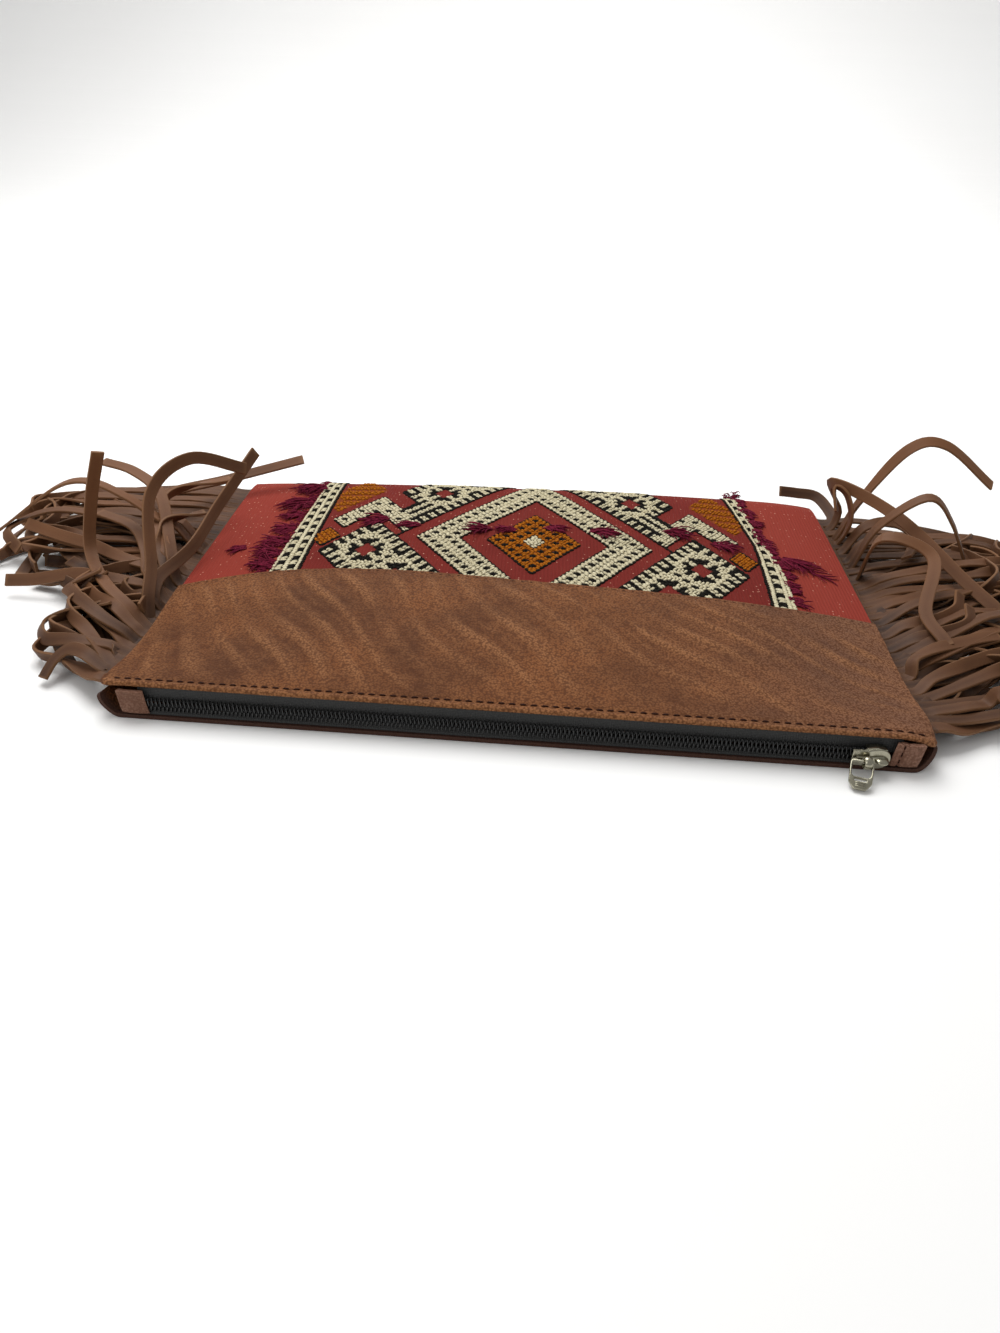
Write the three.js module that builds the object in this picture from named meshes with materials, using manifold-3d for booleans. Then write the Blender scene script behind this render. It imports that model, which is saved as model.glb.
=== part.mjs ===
// A flat clutch of leather and kilim with fringed side seams, lying on its back with the zip closed.
// Millimetres, +Z up. +X runs along the zip towards its closed end, and the zip edge faces -Y.
// The origin is the middle of the back panel's underside, which is what the clutch rests on.
import * as THREE from "three";
import { mergeVertices } from "three/addons/utils/BufferGeometryUtils.js";
import Module from "manifold-3d";

// Driving dimensions
const HALF_WIDTH = 150; // side seam to side seam is 300
const HALF_DEPTH = 107.5; // zip edge to bottom edge is 215
const SKEW = 3; // the soft bottom edge has slipped by this much, away on the right and nearer on the left
const NEAR_SKEW = 2.5; // and the zip edge by this much, nearer on the right and away on the left
const LEATHER = 1.6;
const KILIM = 2;
const GAP = 0.3; // air left between pieces that are sewn together
const HEM = { width: 9, thickness: 2.4, reach: 2.5 }; // folded edge of the front leather over the zip
const LAP = 8; // how far the kilim runs under the leather
const BACK = { inset: 1, lip: 3.9, corner: 6, curl: 7, farCurl: 9 };
const ZIP = { height: 6.1, face: -109.4, tape: 0.8, halfLength: 137, halfGap: 0.5, above: 5.7, below: 4 };
const COIL = { halfLength: 133.8, halfWidth: 2.9, thickness: 1.9 };
const TAB = { from: 134.2, to: 144.4, thickness: 1.8, low: 2.9, high: 11.5, bow: 0.6 };
const SLIDER = { at: 126, halfLength: 6.75, narrow: 3.7, wide: 4.2, plate: 1.3, neck: 0.4 };
const EYE = { at: -1.9, ring: 1.9, wire: 0.6, stretch: 2.3 }; // the loop on the slider that holds the pull
const RIB = { from: -5.4, to: 5.2, rise: 0.75, halfWidth: 1.1 }; // the low rib that carries both
const BAIL = { at: 3.4, halfLength: 2.5, rise: 3.5, halfWidth: 1.15 }; // the raised bar beside that loop
const PULL = { at: -3.4, standoff: 2.2, length: 10.8, thickness: 1.3, droop: 28, yaw: -14 }; // degrees
const STRIP = { width: 5.3, thickness: 1.3, pitch: 5.6, first: -98, count: 36 };
const HEAD = { inner: 8, outer: 3, thickness: 1.4 }; // band of the fringe caught in the side seam

// Outer height of the front at the middle and along the side seams, and how far the back's edge is lifted
// at the sides, from the zip edge (at -1) to the bottom edge (at 1).
const HEIGHTS = [
  { at: -1.0, middle: 14.6, side: 14.6, lift: 7.5 },
  { at: -0.85, middle: 16.4, side: 11.6, lift: 5.6 },
  { at: -0.7, middle: 18.0, side: 9.4, lift: 3.4 },
  { at: -0.5, middle: 19.6, side: 8.8, lift: 2.0 },
  { at: -0.36, middle: 20.6, side: 9.6, lift: 2.0 },
  { at: -0.1, middle: 21.0, side: 9.8, lift: 2.0 },
  { at: 0.3, middle: 20.4, side: 9.6, lift: 2.0 },
  { at: 0.6, middle: 18.8, side: 9.6, lift: 2.0 },
  { at: 0.8, middle: 16.2, side: 9.4, lift: 1.7 },
  { at: 0.92, middle: 12.6, side: 9.1, lift: 1.1 },
  { at: 1.0, middle: 7.8, side: 7.8, lift: 0.7 },
];

// Where the leather's edge crosses the front, across the width (at -1 is the left side seam).
const SEAM = [
  { at: -1.0, y: -23 },
  { at: -0.72, y: -18 },
  { at: -0.4, y: -18 },
  { at: 0.1, y: -23 },
  { at: 0.6, y: -24 },
  { at: 1.0, y: -23 },
];

// Strips that stand out of the heap: where each leaves the seam, then the points it passes,
// each as distance out from the seam, place along it and height.
const LEFT_STRIPS = [
  { root: -92.4, lead: [13, -88, 13], bend: [22, -83, 12], turn: [28, -85, 8], tip: [31, -91, 3], twist: 45 },
  { root: -75.6, lead: [22, -75, 7], bend: [38, -71, 6], turn: [41, -60, 9], tip: [18, -51, 15], twist: 60 },
  { root: -64.4, lead: [20, -60, 15], bend: [36, -46, 16], turn: [42, -36, 14], tip: [30, -30, 19], twist: 40 },
  { root: -58.8, lead: [18, -50, 8], bend: [31, -40, 9], turn: [36, -33, 11], tip: [30, -25, 15], twist: 55 },
  { root: -53.2, lead: [23, -40, 14], bend: [44, -8, 16], turn: [43, 0, 38], tip: [36, 0, 60], twist: -10 },
  { root: -47.6, lead: [9, -28, 19], bend: [14, -4, 44], turn: [2, 16, 53], tip: [-15, 40, 40], twist: -10 },
  { root: -42, lead: [8, -20, 11], bend: [0, 2, 18], turn: [-5, 26, 27], tip: [-16, 55, 43], twist: -30 },
  { root: -36.4, lead: [16, -34, 6], bend: [23, -28, 7], turn: [22, -20, 9], tip: [16, -17, 10], twist: 60 },
  { root: -30.8, lead: [16, -16, 9], bend: [24, 4, 12], turn: [34, 18, 17], tip: [54, 28, 19], twist: 15 },
  { root: -25.2, lead: [31, -24, 7], bend: [48, -22, 9], turn: [64, -22, 8], tip: [78, -22, 7], twist: 50 },
  { root: -19.6, lead: [10, -10, 10], bend: [18, 8, 17], turn: [18, 18, 21], tip: [3, 28, 22], twist: 60 },
  { root: -14, lead: [14, 8, 15], bend: [24, 30, 29], turn: [40, 42, 35], tip: [58, 50, 36], twist: 30 },
  { root: -8.4, lead: [28, -4, 9], bend: [46, 2, 14], turn: [66, 8, 16], tip: [84, 16, 17], twist: 45 },
  { root: -2.8, lead: [14, 2, 11], bend: [23, 24, 22], turn: [20, 40, 27], tip: [-2, 56, 28], twist: 60 },
  { root: 19.6, lead: [20, 20, 13], bend: [36, 20, 31], turn: [62, 20, 37], tip: [103, 22, 9], twist: 0 },
  { root: 25.2, lead: [23, 29, 17], bend: [28, 46, 22], turn: [8, 83, 17], tip: [-29, 95, 25], twist: -15 },
  { root: 30.8, lead: [46, 30, 15], bend: [76, 28, 19], turn: [95, 18, 12], tip: [85, 6, 7], twist: 0 },
];
const RIGHT_STRIPS = [
  { root: -86.8, lead: [18, -84, 10], bend: [27, -80, 9], turn: [31, -80, 14], tip: [37, -90, 5], twist: 0 },
  { root: -70, lead: [12, -64, 9], bend: [24, -56, 10], turn: [40, -48, 11], tip: [54, -42, 10], twist: 60 },
  { root: -58.8, lead: [8, -52, 10], bend: [20, -44, 12], turn: [33, -38, 11], tip: [48, -32, 9], twist: 50 },
  { root: -36.4, lead: [14, -34, 9], bend: [24, -32, 11], turn: [37, -26, 14], tip: [39, -18, 18], twist: 60 },
  { root: -25.2, lead: [13, -22, 8], bend: [26, -20, 9], turn: [36, -14, 13], tip: [39, -6, 18], twist: 60 },
  { root: 30.8, lead: [9, 19, 31], bend: [29, 8, 28], turn: [20, -22, 15], tip: [24, -42, 7], twist: 30 },
  { root: 42, lead: [14, 42, 26], bend: [33, 40, 43], turn: [47, 40, 31], tip: [58, 40, 10], twist: 10 },
  { root: 47.6, lead: [12, 50, 14], bend: [28, 52, 16], turn: [34, 44, 17], tip: [28, 34, 15], twist: 40 },
  { root: 58.8, lead: [15, 63, 17], bend: [30, 66, 19], turn: [38, 57, 16], tip: [32, 40, 9], twist: 45 },
  { root: 70, lead: [8, 64, 20], bend: [5, 68, 31], turn: [-1, 70, 34], tip: [0, 64, 24], twist: 30 },
  { root: 75.6, lead: [14, 75, 26], bend: [31, 75, 53], turn: [49, 76, 56], tip: [77, 78, 36], twist: 40 },
  { root: 86.8, lead: [9, 89, 15], bend: [0, 79, 33], turn: [26, 44, 29], tip: [56, -12, 10], twist: -50 },
  { root: 92.4, lead: [9, 99, 7], bend: [3, 112, 12], turn: [-8, 114, 13], tip: [-17, 113, 14], twist: 0 },
];

// How the other strips lie along each seam: how far they reach out, rise, sweep along it, and turn back.
const LEFT_STYLE = [
  { at: -1.0, reach: 34, rise: 8, drift: 26, back: 0.20 },
  { at: -0.6, reach: 46, rise: 11, drift: 32, back: 0.15 },
  { at: -0.2, reach: 78, rise: 13, drift: 22, back: 0.12 },
  { at: 0.3, reach: 86, rise: 7, drift: -6, back: 0.08 },
  { at: 1.0, reach: 78, rise: 3, drift: -30, back: 0.10 },
];
const RIGHT_STYLE = [
  { at: -1.0, reach: 50, rise: 7, drift: 26, back: 0.12 },
  { at: -0.4, reach: 72, rise: 9, drift: 36, back: 0.10 },
  { at: 0.2, reach: 84, rise: 10, drift: 12, back: 0.10 },
  { at: 1.0, reach: 82, rise: 4, drift: -36, back: 0.12 },
];

// Smooth reading of one column of a table whose rows are ordered by "at".
function read(rows, column, at) {
  let i = 0;
  while (i < rows.length - 2 && at > rows[i + 1].at) i += 1;
  const [a, b] = [rows[i], rows[i + 1]];
  const before = rows[Math.max(i - 1, 0)];
  const after = rows[Math.min(i + 2, rows.length - 1)];
  const span = b.at - a.at;
  const t = THREE.MathUtils.clamp((at - a.at) / span, 0, 1);
  const slopeA = ((b[column] - before[column]) / (b.at - before.at)) * span;
  const slopeB = ((after[column] - a[column]) / (after.at - a.at)) * span;
  const rise = b[column] - a[column];
  const square = 3 * rise - 2 * slopeA - slopeB;
  const cube = slopeA + slopeB - 2 * rise;
  return a[column] + t * slopeA + t * t * square + t * t * t * cube;
}

const seamY = (x) => read(SEAM, "y", x / HALF_WIDTH);
const farY = (x) => HALF_DEPTH + (SKEW * x) / HALF_WIDTH;
const nearY = (x) => -HALF_DEPTH - (NEAR_SKEW * x) / HALF_WIDTH;

// Outer height of the front: full in the middle, a little fuller on the left, and falling to the side seams.
function frontHeight(x, y) {
  const across = x / HALF_WIDTH;
  const along = y > 0 ? y / farY(x) : -y / nearY(x);
  const side = read(HEIGHTS, "side", along);
  const fullness = read(HEIGHTS, "middle", along) - side;
  return side + fullness * (1 - Math.abs(across) ** 2.6) * (1 - 0.12 * across);
}

// Underside of the back: flat on what it rests on, with its side and bottom edges turned up to the seams.
function backHeight(x, y) {
  const along = THREE.MathUtils.clamp(y / HALF_DEPTH, -1, 1);
  const halfWidth = HALF_WIDTH - BACK.inset;
  const sideTurn = Math.max(0, (Math.abs(x) - halfWidth + BACK.curl) / BACK.curl);
  const farTurn = Math.max(0, (y - farY(x) + BACK.farCurl) / BACK.farCurl);
  const sideLift = read(HEIGHTS, "lift", along) * (1 - Math.cos((sideTurn * Math.PI) / 2));
  const seamLift = frontHeight(x, farY(x)) - 2 * (LEATHER + GAP) - KILIM;
  const farLift = seamLift * (1 - Math.cos((farTurn * Math.PI) / 2));
  return Math.max(sideLift, farLift);
}

// A closed wall between an outer and an inner surface, each a function of the fractions u and v.
function wall(uStops, vStops, outer, inner) {
  const columns = uStops.length;
  const rows = vStops.length;
  const points = [];
  for (const surface of [outer, inner]) {
    for (const v of vStops) for (const u of uStops) points.push(...surface(u, v).toArray());
  }
  const faces = [];
  const under = columns * rows;
  const quad = (a, b, c, d) => faces.push(a, b, c, a, c, d);
  for (let j = 0; j < rows - 1; j += 1) {
    for (let i = 0; i < columns - 1; i += 1) {
      const a = j * columns + i;
      quad(a, a + 1, a + columns + 1, a + columns);
      quad(under + a, under + a + columns, under + a + columns + 1, under + a + 1);
    }
  }
  for (let i = 0; i < columns - 1; i += 1) {
    const far = (rows - 1) * columns + i;
    quad(i, under + i, under + i + 1, i + 1);
    quad(far + 1, under + far + 1, under + far, far);
  }
  for (let j = 0; j < rows - 1; j += 1) {
    const left = j * columns;
    const right = left + columns - 1;
    quad(left + columns, under + left + columns, under + left, left);
    quad(right, under + right, under + right + columns, right + columns);
  }
  const geometry = new THREE.BufferGeometry();
  geometry.setAttribute("position", new THREE.Float32BufferAttribute(points, 3));
  geometry.setIndex(faces);
  return geometry;
}

const evenStops = (count) => Array.from({ length: count + 1 }, (_, i) => i / count);

// Solid joins and cuts
const wasm = await Module();
wasm.setup();

function solidOf(geometry) {
  const bare = geometry.clone();
  bare.deleteAttribute("normal");
  bare.deleteAttribute("uv");
  const merged = mergeVertices(bare, 1e-4);
  const triVerts = new Uint32Array(merged.index.array);
  return new wasm.Manifold(
    new wasm.Mesh({ numProp: 3, vertProperties: merged.attributes.position.array, triVerts }),
  );
}

function geometryOf(solid) {
  const mesh = solid.getMesh();
  const geometry = new THREE.BufferGeometry();
  geometry.setAttribute("position", new THREE.BufferAttribute(mesh.vertProperties, 3));
  geometry.setIndex(new THREE.BufferAttribute(mesh.triVerts, 1));
  return geometry;
}

const fuse = (geometries) => geometryOf(geometries.map(solidOf).reduce((all, next) => all.add(next)));

function slab(xLow, xHigh, yLow, yHigh, zLow, zHigh) {
  const geometry = new THREE.BoxGeometry(xHigh - xLow, yHigh - yLow, zHigh - zLow);
  return geometry.translate((xLow + xHigh) / 2, (yLow + yHigh) / 2, (zLow + zHigh) / 2);
}

// The front leather, from the folded hem over the zip to its edge on top of the kilim.
function frontLeather() {
  const place = (u, v) => {
    const x = HALF_WIDTH * (2 * u - 1);
    const y = THREE.MathUtils.lerp(nearY(x) - HEM.reach, seamY(x), v);
    return [x, y, frontHeight(x, Math.max(y, nearY(x)))];
  };
  const hemEnd = HEM.width / (HALF_DEPTH + HEM.reach + seamY(0));
  const rows = [0, hemEnd * 0.3, hemEnd, hemEnd + 0.03];
  for (let i = 2; i <= 8; i += 1) rows.push(i / 8);
  const outer = (u, v) => new THREE.Vector3(...place(u, v));
  const inner = (u, v) => {
    const [x, y, z] = place(u, v);
    return new THREE.Vector3(x, y, z - (v <= hemEnd ? HEM.thickness : LEATHER));
  };
  return wall(evenStops(20), rows, outer, inner);
}

// The kilim, one leather thickness lower so that the leather laps over it.
function frontKilim() {
  const place = (u, v) => {
    const x = HALF_WIDTH * (2 * u - 1);
    const y = THREE.MathUtils.lerp(seamY(x) - LAP, farY(x), v);
    return [x, y, frontHeight(x, y) - LEATHER - GAP];
  };
  const outer = (u, v) => new THREE.Vector3(...place(u, v));
  const inner = (u, v) => outer(u, v).sub(new THREE.Vector3(0, 0, KILIM));
  const rows = [0, 0.13, 0.27, 0.42, 0.57, 0.7, 0.81, 0.89, 0.95, 1];
  return wall(evenStops(20), rows, outer, inner);
}

// The back, with a lip under the zip, rounded corners there, and edges turned up to the seams.
function backPanel() {
  const halfWidth = HALF_WIDTH - BACK.inset;
  const lipY = (x) => {
    const past = Math.max(0, Math.abs(x) - (halfWidth - BACK.corner));
    return nearY(x) - BACK.lip + BACK.corner - Math.sqrt(Math.max(0, BACK.corner ** 2 - past ** 2));
  };
  const turned = BACK.curl / (2 * halfWidth);
  const columns = [0, 0.2, 0.4, 0.6, 0.8, 1].map((part) => part * turned);
  const uStops = [...columns, 0.5, ...columns.map((u) => 1 - u).reverse()];
  const vStops = [0, 0.06, 0.13, 0.21, 0.3, 0.6, 0.88, 0.955, 0.985, 1];
  const outer = (u, v) => {
    const x = halfWidth * (2 * u - 1);
    const y = THREE.MathUtils.lerp(lipY(x), farY(x) - 0.5, v);
    return new THREE.Vector3(x, y, backHeight(x, y) + LEATHER);
  };
  const inner = (u, v) => outer(u, v).sub(new THREE.Vector3(0, 0, LEATHER));
  return wall(uStops, vStops, outer, inner);
}

// Middle height of the fringe's band in the side seam.
const bandHeight = (y) => read(HEIGHTS, "lift", y / HALF_DEPTH) + LEATHER + GAP + HEAD.thickness / 2;

// A flat strip along a curve. It leaves the seam lying flat and turns by twist degrees towards its tip.
function ribbon(curve, twist, segments) {
  const frames = [];
  let width = new THREE.Vector3(0, 1, 0);
  for (let i = 0; i <= segments; i += 1) {
    const part = i / segments;
    const tangent = curve.getTangentAt(part);
    width = width.addScaledVector(tangent, -width.dot(tangent)).normalize();
    const turned = width.clone().applyAxisAngle(tangent, THREE.MathUtils.degToRad(twist) * part ** 1.5);
    const normal = new THREE.Vector3().crossVectors(tangent, turned);
    frames.push({ centre: curve.getPointAt(part), width: turned, normal });
  }
  const side = (direction) => (u, v) => {
    const frame = frames[Math.round(u * segments)];
    const point = frame.centre.clone().addScaledVector(frame.width, (v - 0.5) * STRIP.width);
    return point.addScaledVector(frame.normal, (direction * STRIP.thickness) / 2);
  };
  return wall(evenStops(segments), [0, 1], side(1), side(-1));
}

// A repeatable spread of values between -1 and 1 for strip number k.
function spread(k, kind) {
  const share = THREE.MathUtils.euclideanModulo(Math.sin(k * 12.9 + kind * 78.2) * 437.5, 1);
  return 2 * share - 1;
}

// A strip between the picked ones: it leaves the seam, rises, sweeps along it and comes down or curls back.
function plainStrip(k, root, style) {
  const column = (name) => read(style, name, root / HALF_DEPTH);
  const reach = column("reach") * (1 + 0.2 * spread(k, 1));
  const rise = column("rise") * (0.6 + 0.5 * spread(k, 2));
  const drift = column("drift") + 13 * spread(k, 3);
  const back = column("back") * (1 + 0.4 * spread(k, 5));
  const sag = 1 + 0.5 * spread(k, 4);
  return {
    root,
    lead: [reach * 0.28, root + drift * 0.14, 5 + rise * 0.6],
    bend: [reach * 0.66, root + drift * 0.5, 5 + rise],
    turn: [reach, root + drift * 0.85, 3 + rise * 0.6 * sag],
    tip: [reach * (1.12 - back), root + drift * 1.2 + 5 * spread(k, 6), 3.2 + rise * back * sag * 1.3],
    twist: 35 + 40 * spread(k, 7),
  };
}

// One side's fringe: the band in the seam and every strip, as one body. Outward is -1 on the left, else 1.
function fringe(outward, picked, style) {
  const strips = [...picked];
  for (let k = 0; k < STRIP.count; k += 1) {
    const root = STRIP.first + k * STRIP.pitch;
    const taken = picked.some((row) => Math.abs(row.root - root) < STRIP.pitch / 2);
    if (!taken) strips.push(plainStrip(k, root, style));
  }
  const place = ([out, along, up]) => new THREE.Vector3(outward * (HALF_WIDTH + out), along, up);
  const bandEnds = [STRIP.first - STRIP.pitch / 2, STRIP.first + (STRIP.count - 0.5) * STRIP.pitch];
  const bandSide = (direction) => (u, v) => {
    const across = THREE.MathUtils.lerp(-HEAD.inner, HEAD.outer, outward > 0 ? v : 1 - v);
    const x = outward * (HALF_WIDTH + across);
    const y = THREE.MathUtils.lerp(...bandEnds, u);
    return new THREE.Vector3(x, y, bandHeight(y) + (direction * HEAD.thickness) / 2);
  };
  const pieces = [wall(evenStops(20), [0, 1], bandSide(-1), bandSide(1))];
  for (const strip of strips) {
    const height = bandHeight(strip.root);
    const start = [1, strip.root, height];
    const leave = [6, THREE.MathUtils.lerp(strip.root, strip.lead[1], 0.15), height];
    const points = [start, leave, strip.lead, strip.bend, strip.turn, strip.tip].map(place);
    const curve = new THREE.CatmullRomCurve3(points, false, "catmullrom", 0.5);
    pieces.push(ribbon(curve, outward * strip.twist, picked.includes(strip) ? 7 : 5));
  }
  return fuse(pieces);
}

// The zip is built along X and then turned to run along the skewed zip edge.
function alongZipEdge(geometry) {
  const turn = -Math.atan(NEAR_SKEW / HALF_WIDTH);
  return geometry.translate(0, -ZIP.face, 0).rotateZ(turn).translate(0, ZIP.face, 0);
}

// The slider: a body that clasps both coils, open along the zip, with a neck between them, and in front a rib
// with an eye and a bail.
function zipSlider() {
  const front = ZIP.face - COIL.thickness - 2 * GAP - SLIDER.plate;
  const back = ZIP.face + ZIP.tape + GAP + SLIDER.plate;
  const outline = new THREE.Shape();
  outline.moveTo(-SLIDER.halfLength, -SLIDER.narrow);
  outline.lineTo(SLIDER.halfLength - SLIDER.wide, -SLIDER.wide);
  outline.absarc(SLIDER.halfLength - SLIDER.wide, 0, SLIDER.wide, -Math.PI / 2, Math.PI / 2);
  outline.lineTo(-SLIDER.halfLength, SLIDER.narrow);
  const depth = back - front;
  const body = new THREE.ExtrudeGeometry(outline, { depth, bevelEnabled: false, curveSegments: 10 });
  body.rotateX(Math.PI / 2).translate(0, back, 0);
  const reach = 2 * SLIDER.halfLength;
  const coilRoom = COIL.halfWidth + GAP;
  const coilChannel = slab(-reach, reach, front + SLIDER.plate, ZIP.face, -coilRoom, coilRoom);
  const tapeSlot = slab(-reach, reach, ZIP.face - GAP, back - SLIDER.plate, -reach, reach);
  const inPlate = front + SLIDER.plate / 2;
  const neck = slab(1.5, 5, inPlate, back - SLIDER.plate / 2, -SLIDER.neck / 2, SLIDER.neck / 2);
  const eye = new THREE.TorusGeometry(EYE.ring, EYE.wire, 6, 14).rotateY(Math.PI / 2).scale(EYE.stretch, 1, 1);
  const lean = (EYE.at - PULL.at) * Math.tan(THREE.MathUtils.degToRad(PULL.yaw));
  eye.translate(EYE.at, front - PULL.standoff + lean, 0);
  const rib = slab(RIB.from, RIB.to, front - RIB.rise, inPlate, -RIB.halfWidth, RIB.halfWidth);
  const bail = new THREE.SphereGeometry(1, 12, 6).scale(BAIL.halfLength, BAIL.rise, BAIL.halfWidth);
  bail.translate(BAIL.at, front + GAP, 0);
  const made = solidOf(body).subtract(solidOf(coilChannel)).subtract(solidOf(tapeSlot));
  const behind = slab(-reach, reach, inPlate, back + reach, -reach, reach);
  const proud = solidOf(bail).subtract(solidOf(behind));
  const whole = made.add(solidOf(neck)).add(solidOf(rib)).add(solidOf(eye)).add(proud);
  return geometryOf(whole).translate(SLIDER.at, 0, ZIP.height);
}

// The pull: a ring that hangs in the eye, with a short grip that rests on the surface in front.
function zipPull() {
  const front = ZIP.face - COIL.thickness - 2 * GAP - SLIDER.plate;
  const outline = new THREE.Shape();
  const rows = [[2.4, 0.7], [3.4, 0.5], [4.1, -0.8], [3.9, -8.2], [2.3, -10.5], [1.8, -PULL.length]];
  outline.setFromPoints([
    ...rows.map(([x, y]) => new THREE.Vector2(x, y)),
    ...rows.toReversed().map(([x, y]) => new THREE.Vector2(-x, y)),
  ]);
  const window = [[-3.3, -0.8], [-3.3, -4.6], [-2.4, -6.1], [2.4, -6.1], [3.3, -4.6], [3.3, -0.8]];
  const slot = [[-2.1, -6.8], [-2, -7.7], [2, -7.7], [2.1, -6.8]];
  for (const corners of [window, slot]) {
    outline.holes.push(new THREE.Path(corners.map(([x, y]) => new THREE.Vector2(x, y))));
  }
  const geometry = new THREE.ExtrudeGeometry(outline, { depth: PULL.thickness, bevelEnabled: false });
  geometry.translate(0, 0, -PULL.thickness / 2);
  geometry.rotateX(THREE.MathUtils.degToRad(PULL.droop)).rotateZ(THREE.MathUtils.degToRad(PULL.yaw));
  return geometry.translate(SLIDER.at + PULL.at, front - PULL.standoff, ZIP.height);
}

// One half of the zip: side is 1 above the slider's neck and -1 below it.
function zipTape(side) {
  const inner = ZIP.halfGap + 0.2;
  const [low, high] = side > 0 ? [inner, ZIP.above] : [-ZIP.below, -inner];
  const tape = slab(-ZIP.halfLength, ZIP.halfLength, ZIP.face, ZIP.face + ZIP.tape, low, high);
  return tape.translate(0, 0, ZIP.height);
}

function zipCoil(side) {
  const outline = new THREE.Shape();
  const [inner, outer] = [ZIP.halfGap, COIL.halfWidth];
  const middle = (inner + outer) / 2;
  outline.absellipse(-side * middle, 0, (outer - inner) / 2, COIL.thickness / 2, 0, 2 * Math.PI);
  const depth = 2 * COIL.halfLength;
  const coil = new THREE.ExtrudeGeometry(outline, { depth, bevelEnabled: false, curveSegments: 8 });
  coil.translate(0, 0, -COIL.halfLength).rotateY(Math.PI / 2);
  return coil.translate(0, ZIP.face - GAP - COIL.thickness / 2, ZIP.height);
}

// The leather tab over the zip's end, a little rounded in front. Side is -1 on the left and 1 on the right.
function zipTab(side) {
  const width = TAB.to - TAB.from;
  const outer = (u, v) => {
    const bow = TAB.bow * Math.sin(Math.PI * u);
    const x = side * (TAB.from + TAB.to) / 2 + width * (u - 0.5);
    const y = ZIP.face - GAP - TAB.thickness - bow;
    return new THREE.Vector3(x, y, THREE.MathUtils.lerp(TAB.low, TAB.high, v));
  };
  const inner = (u, v) => outer(u, v).setY(ZIP.face - GAP);
  return wall(evenStops(6), [0, 1], outer, inner);
}

// Materials
function surface(color, roughness, metalness) {
  return new THREE.MeshStandardMaterial({ color, roughness, metalness });
}
const leather = surface("#7a5034", 0.75, 0);
const fringeLeather = surface("#664636", 0.8, 0);
const kilim = surface("#9c3a35", 0.95, 0);
const zipBlack = surface("#1f2122", 0.6, 0);
const nickel = surface("#b5b29f", 0.3, 1);

const clutch = new THREE.Group();
function piece(name, geometry, material) {
  const mesh = new THREE.Mesh(geometry, material);
  mesh.name = name;
  clutch.add(mesh);
}

piece("front_leather_panel", frontLeather(), leather);
piece("front_kilim_panel", frontKilim(), kilim);
piece("back_leather_panel", backPanel(), leather);
piece("fringe_left", fringe(-1, LEFT_STRIPS, LEFT_STYLE), fringeLeather);
piece("fringe_right", fringe(1, RIGHT_STRIPS, RIGHT_STYLE), fringeLeather);
piece("zip_tape_upper", alongZipEdge(zipTape(1)), zipBlack);
piece("zip_tape_lower", alongZipEdge(zipTape(-1)), zipBlack);
piece("zip_coil_upper", alongZipEdge(zipCoil(1)), zipBlack);
piece("zip_coil_lower", alongZipEdge(zipCoil(-1)), zipBlack);
piece("zip_tab_left", alongZipEdge(zipTab(-1)), leather);
piece("zip_tab_right", alongZipEdge(zipTab(1)), leather);
piece("zip_slider", alongZipEdge(zipSlider()), nickel);
piece("zip_pull", alongZipEdge(zipPull()), nickel);

export default clutch;
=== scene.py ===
import math
import random

import bpy
import numpy as np
from mathutils import Matrix, Vector


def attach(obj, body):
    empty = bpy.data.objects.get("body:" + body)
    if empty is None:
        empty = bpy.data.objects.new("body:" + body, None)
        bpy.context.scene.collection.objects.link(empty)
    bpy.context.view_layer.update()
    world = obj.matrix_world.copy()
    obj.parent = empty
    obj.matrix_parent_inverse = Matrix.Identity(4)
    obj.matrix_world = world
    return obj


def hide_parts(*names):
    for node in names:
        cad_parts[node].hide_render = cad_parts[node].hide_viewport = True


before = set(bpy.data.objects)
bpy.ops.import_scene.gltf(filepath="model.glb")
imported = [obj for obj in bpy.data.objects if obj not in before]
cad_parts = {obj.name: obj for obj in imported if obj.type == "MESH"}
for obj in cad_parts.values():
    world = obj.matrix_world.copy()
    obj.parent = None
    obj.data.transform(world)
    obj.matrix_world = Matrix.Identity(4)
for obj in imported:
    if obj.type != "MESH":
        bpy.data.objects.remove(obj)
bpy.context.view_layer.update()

# Camera
# The photograph was taken close to the zip edge, looking down at the clutch, a little turned and tilted.
IMAGE_HEIGHT = 1333
FOCAL_PIXELS = 1000
SENSOR_MM = 36
CAMERA_PLACE = Vector((0.0060, -0.4023, 0.2153))
CAMERA_YAW = math.radians(-2.25)
CAMERA_PITCH = math.radians(32.06)
CAMERA_ROLL = math.radians(2.11)

ahead = Vector((
    math.sin(CAMERA_YAW) * math.cos(CAMERA_PITCH),
    math.cos(CAMERA_YAW) * math.cos(CAMERA_PITCH),
    -math.sin(CAMERA_PITCH),
))
level = Vector((math.cos(CAMERA_YAW), -math.sin(CAMERA_YAW), 0))
upright = level.cross(ahead)
camera_right = math.cos(CAMERA_ROLL) * level + math.sin(CAMERA_ROLL) * upright
camera_up = math.cos(CAMERA_ROLL) * upright - math.sin(CAMERA_ROLL) * level
bpy.ops.object.camera_add()
camera = bpy.context.object
facing = Matrix((camera_right, camera_up, -ahead)).transposed().to_4x4()
camera.matrix_world = Matrix.Translation(CAMERA_PLACE) @ facing
camera.data.sensor_width = SENSOR_MM
camera.data.lens = SENSOR_MM * FOCAL_PIXELS / IMAGE_HEIGHT
bpy.context.scene.camera = camera

# Table and light
# A plain white table top that curves up far behind, under a wide soft light from above and behind, with a
# weaker one from the front left and one for the backdrop. These sizes are in metres.
FLOOR_SIZE = 6
FLOOR_ROWS = 120
FLOOR_DROP = 0.0002
COVE_START = 1.0
COVE_RISE = 0.5
SKY_STRENGTH = 0.42


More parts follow.
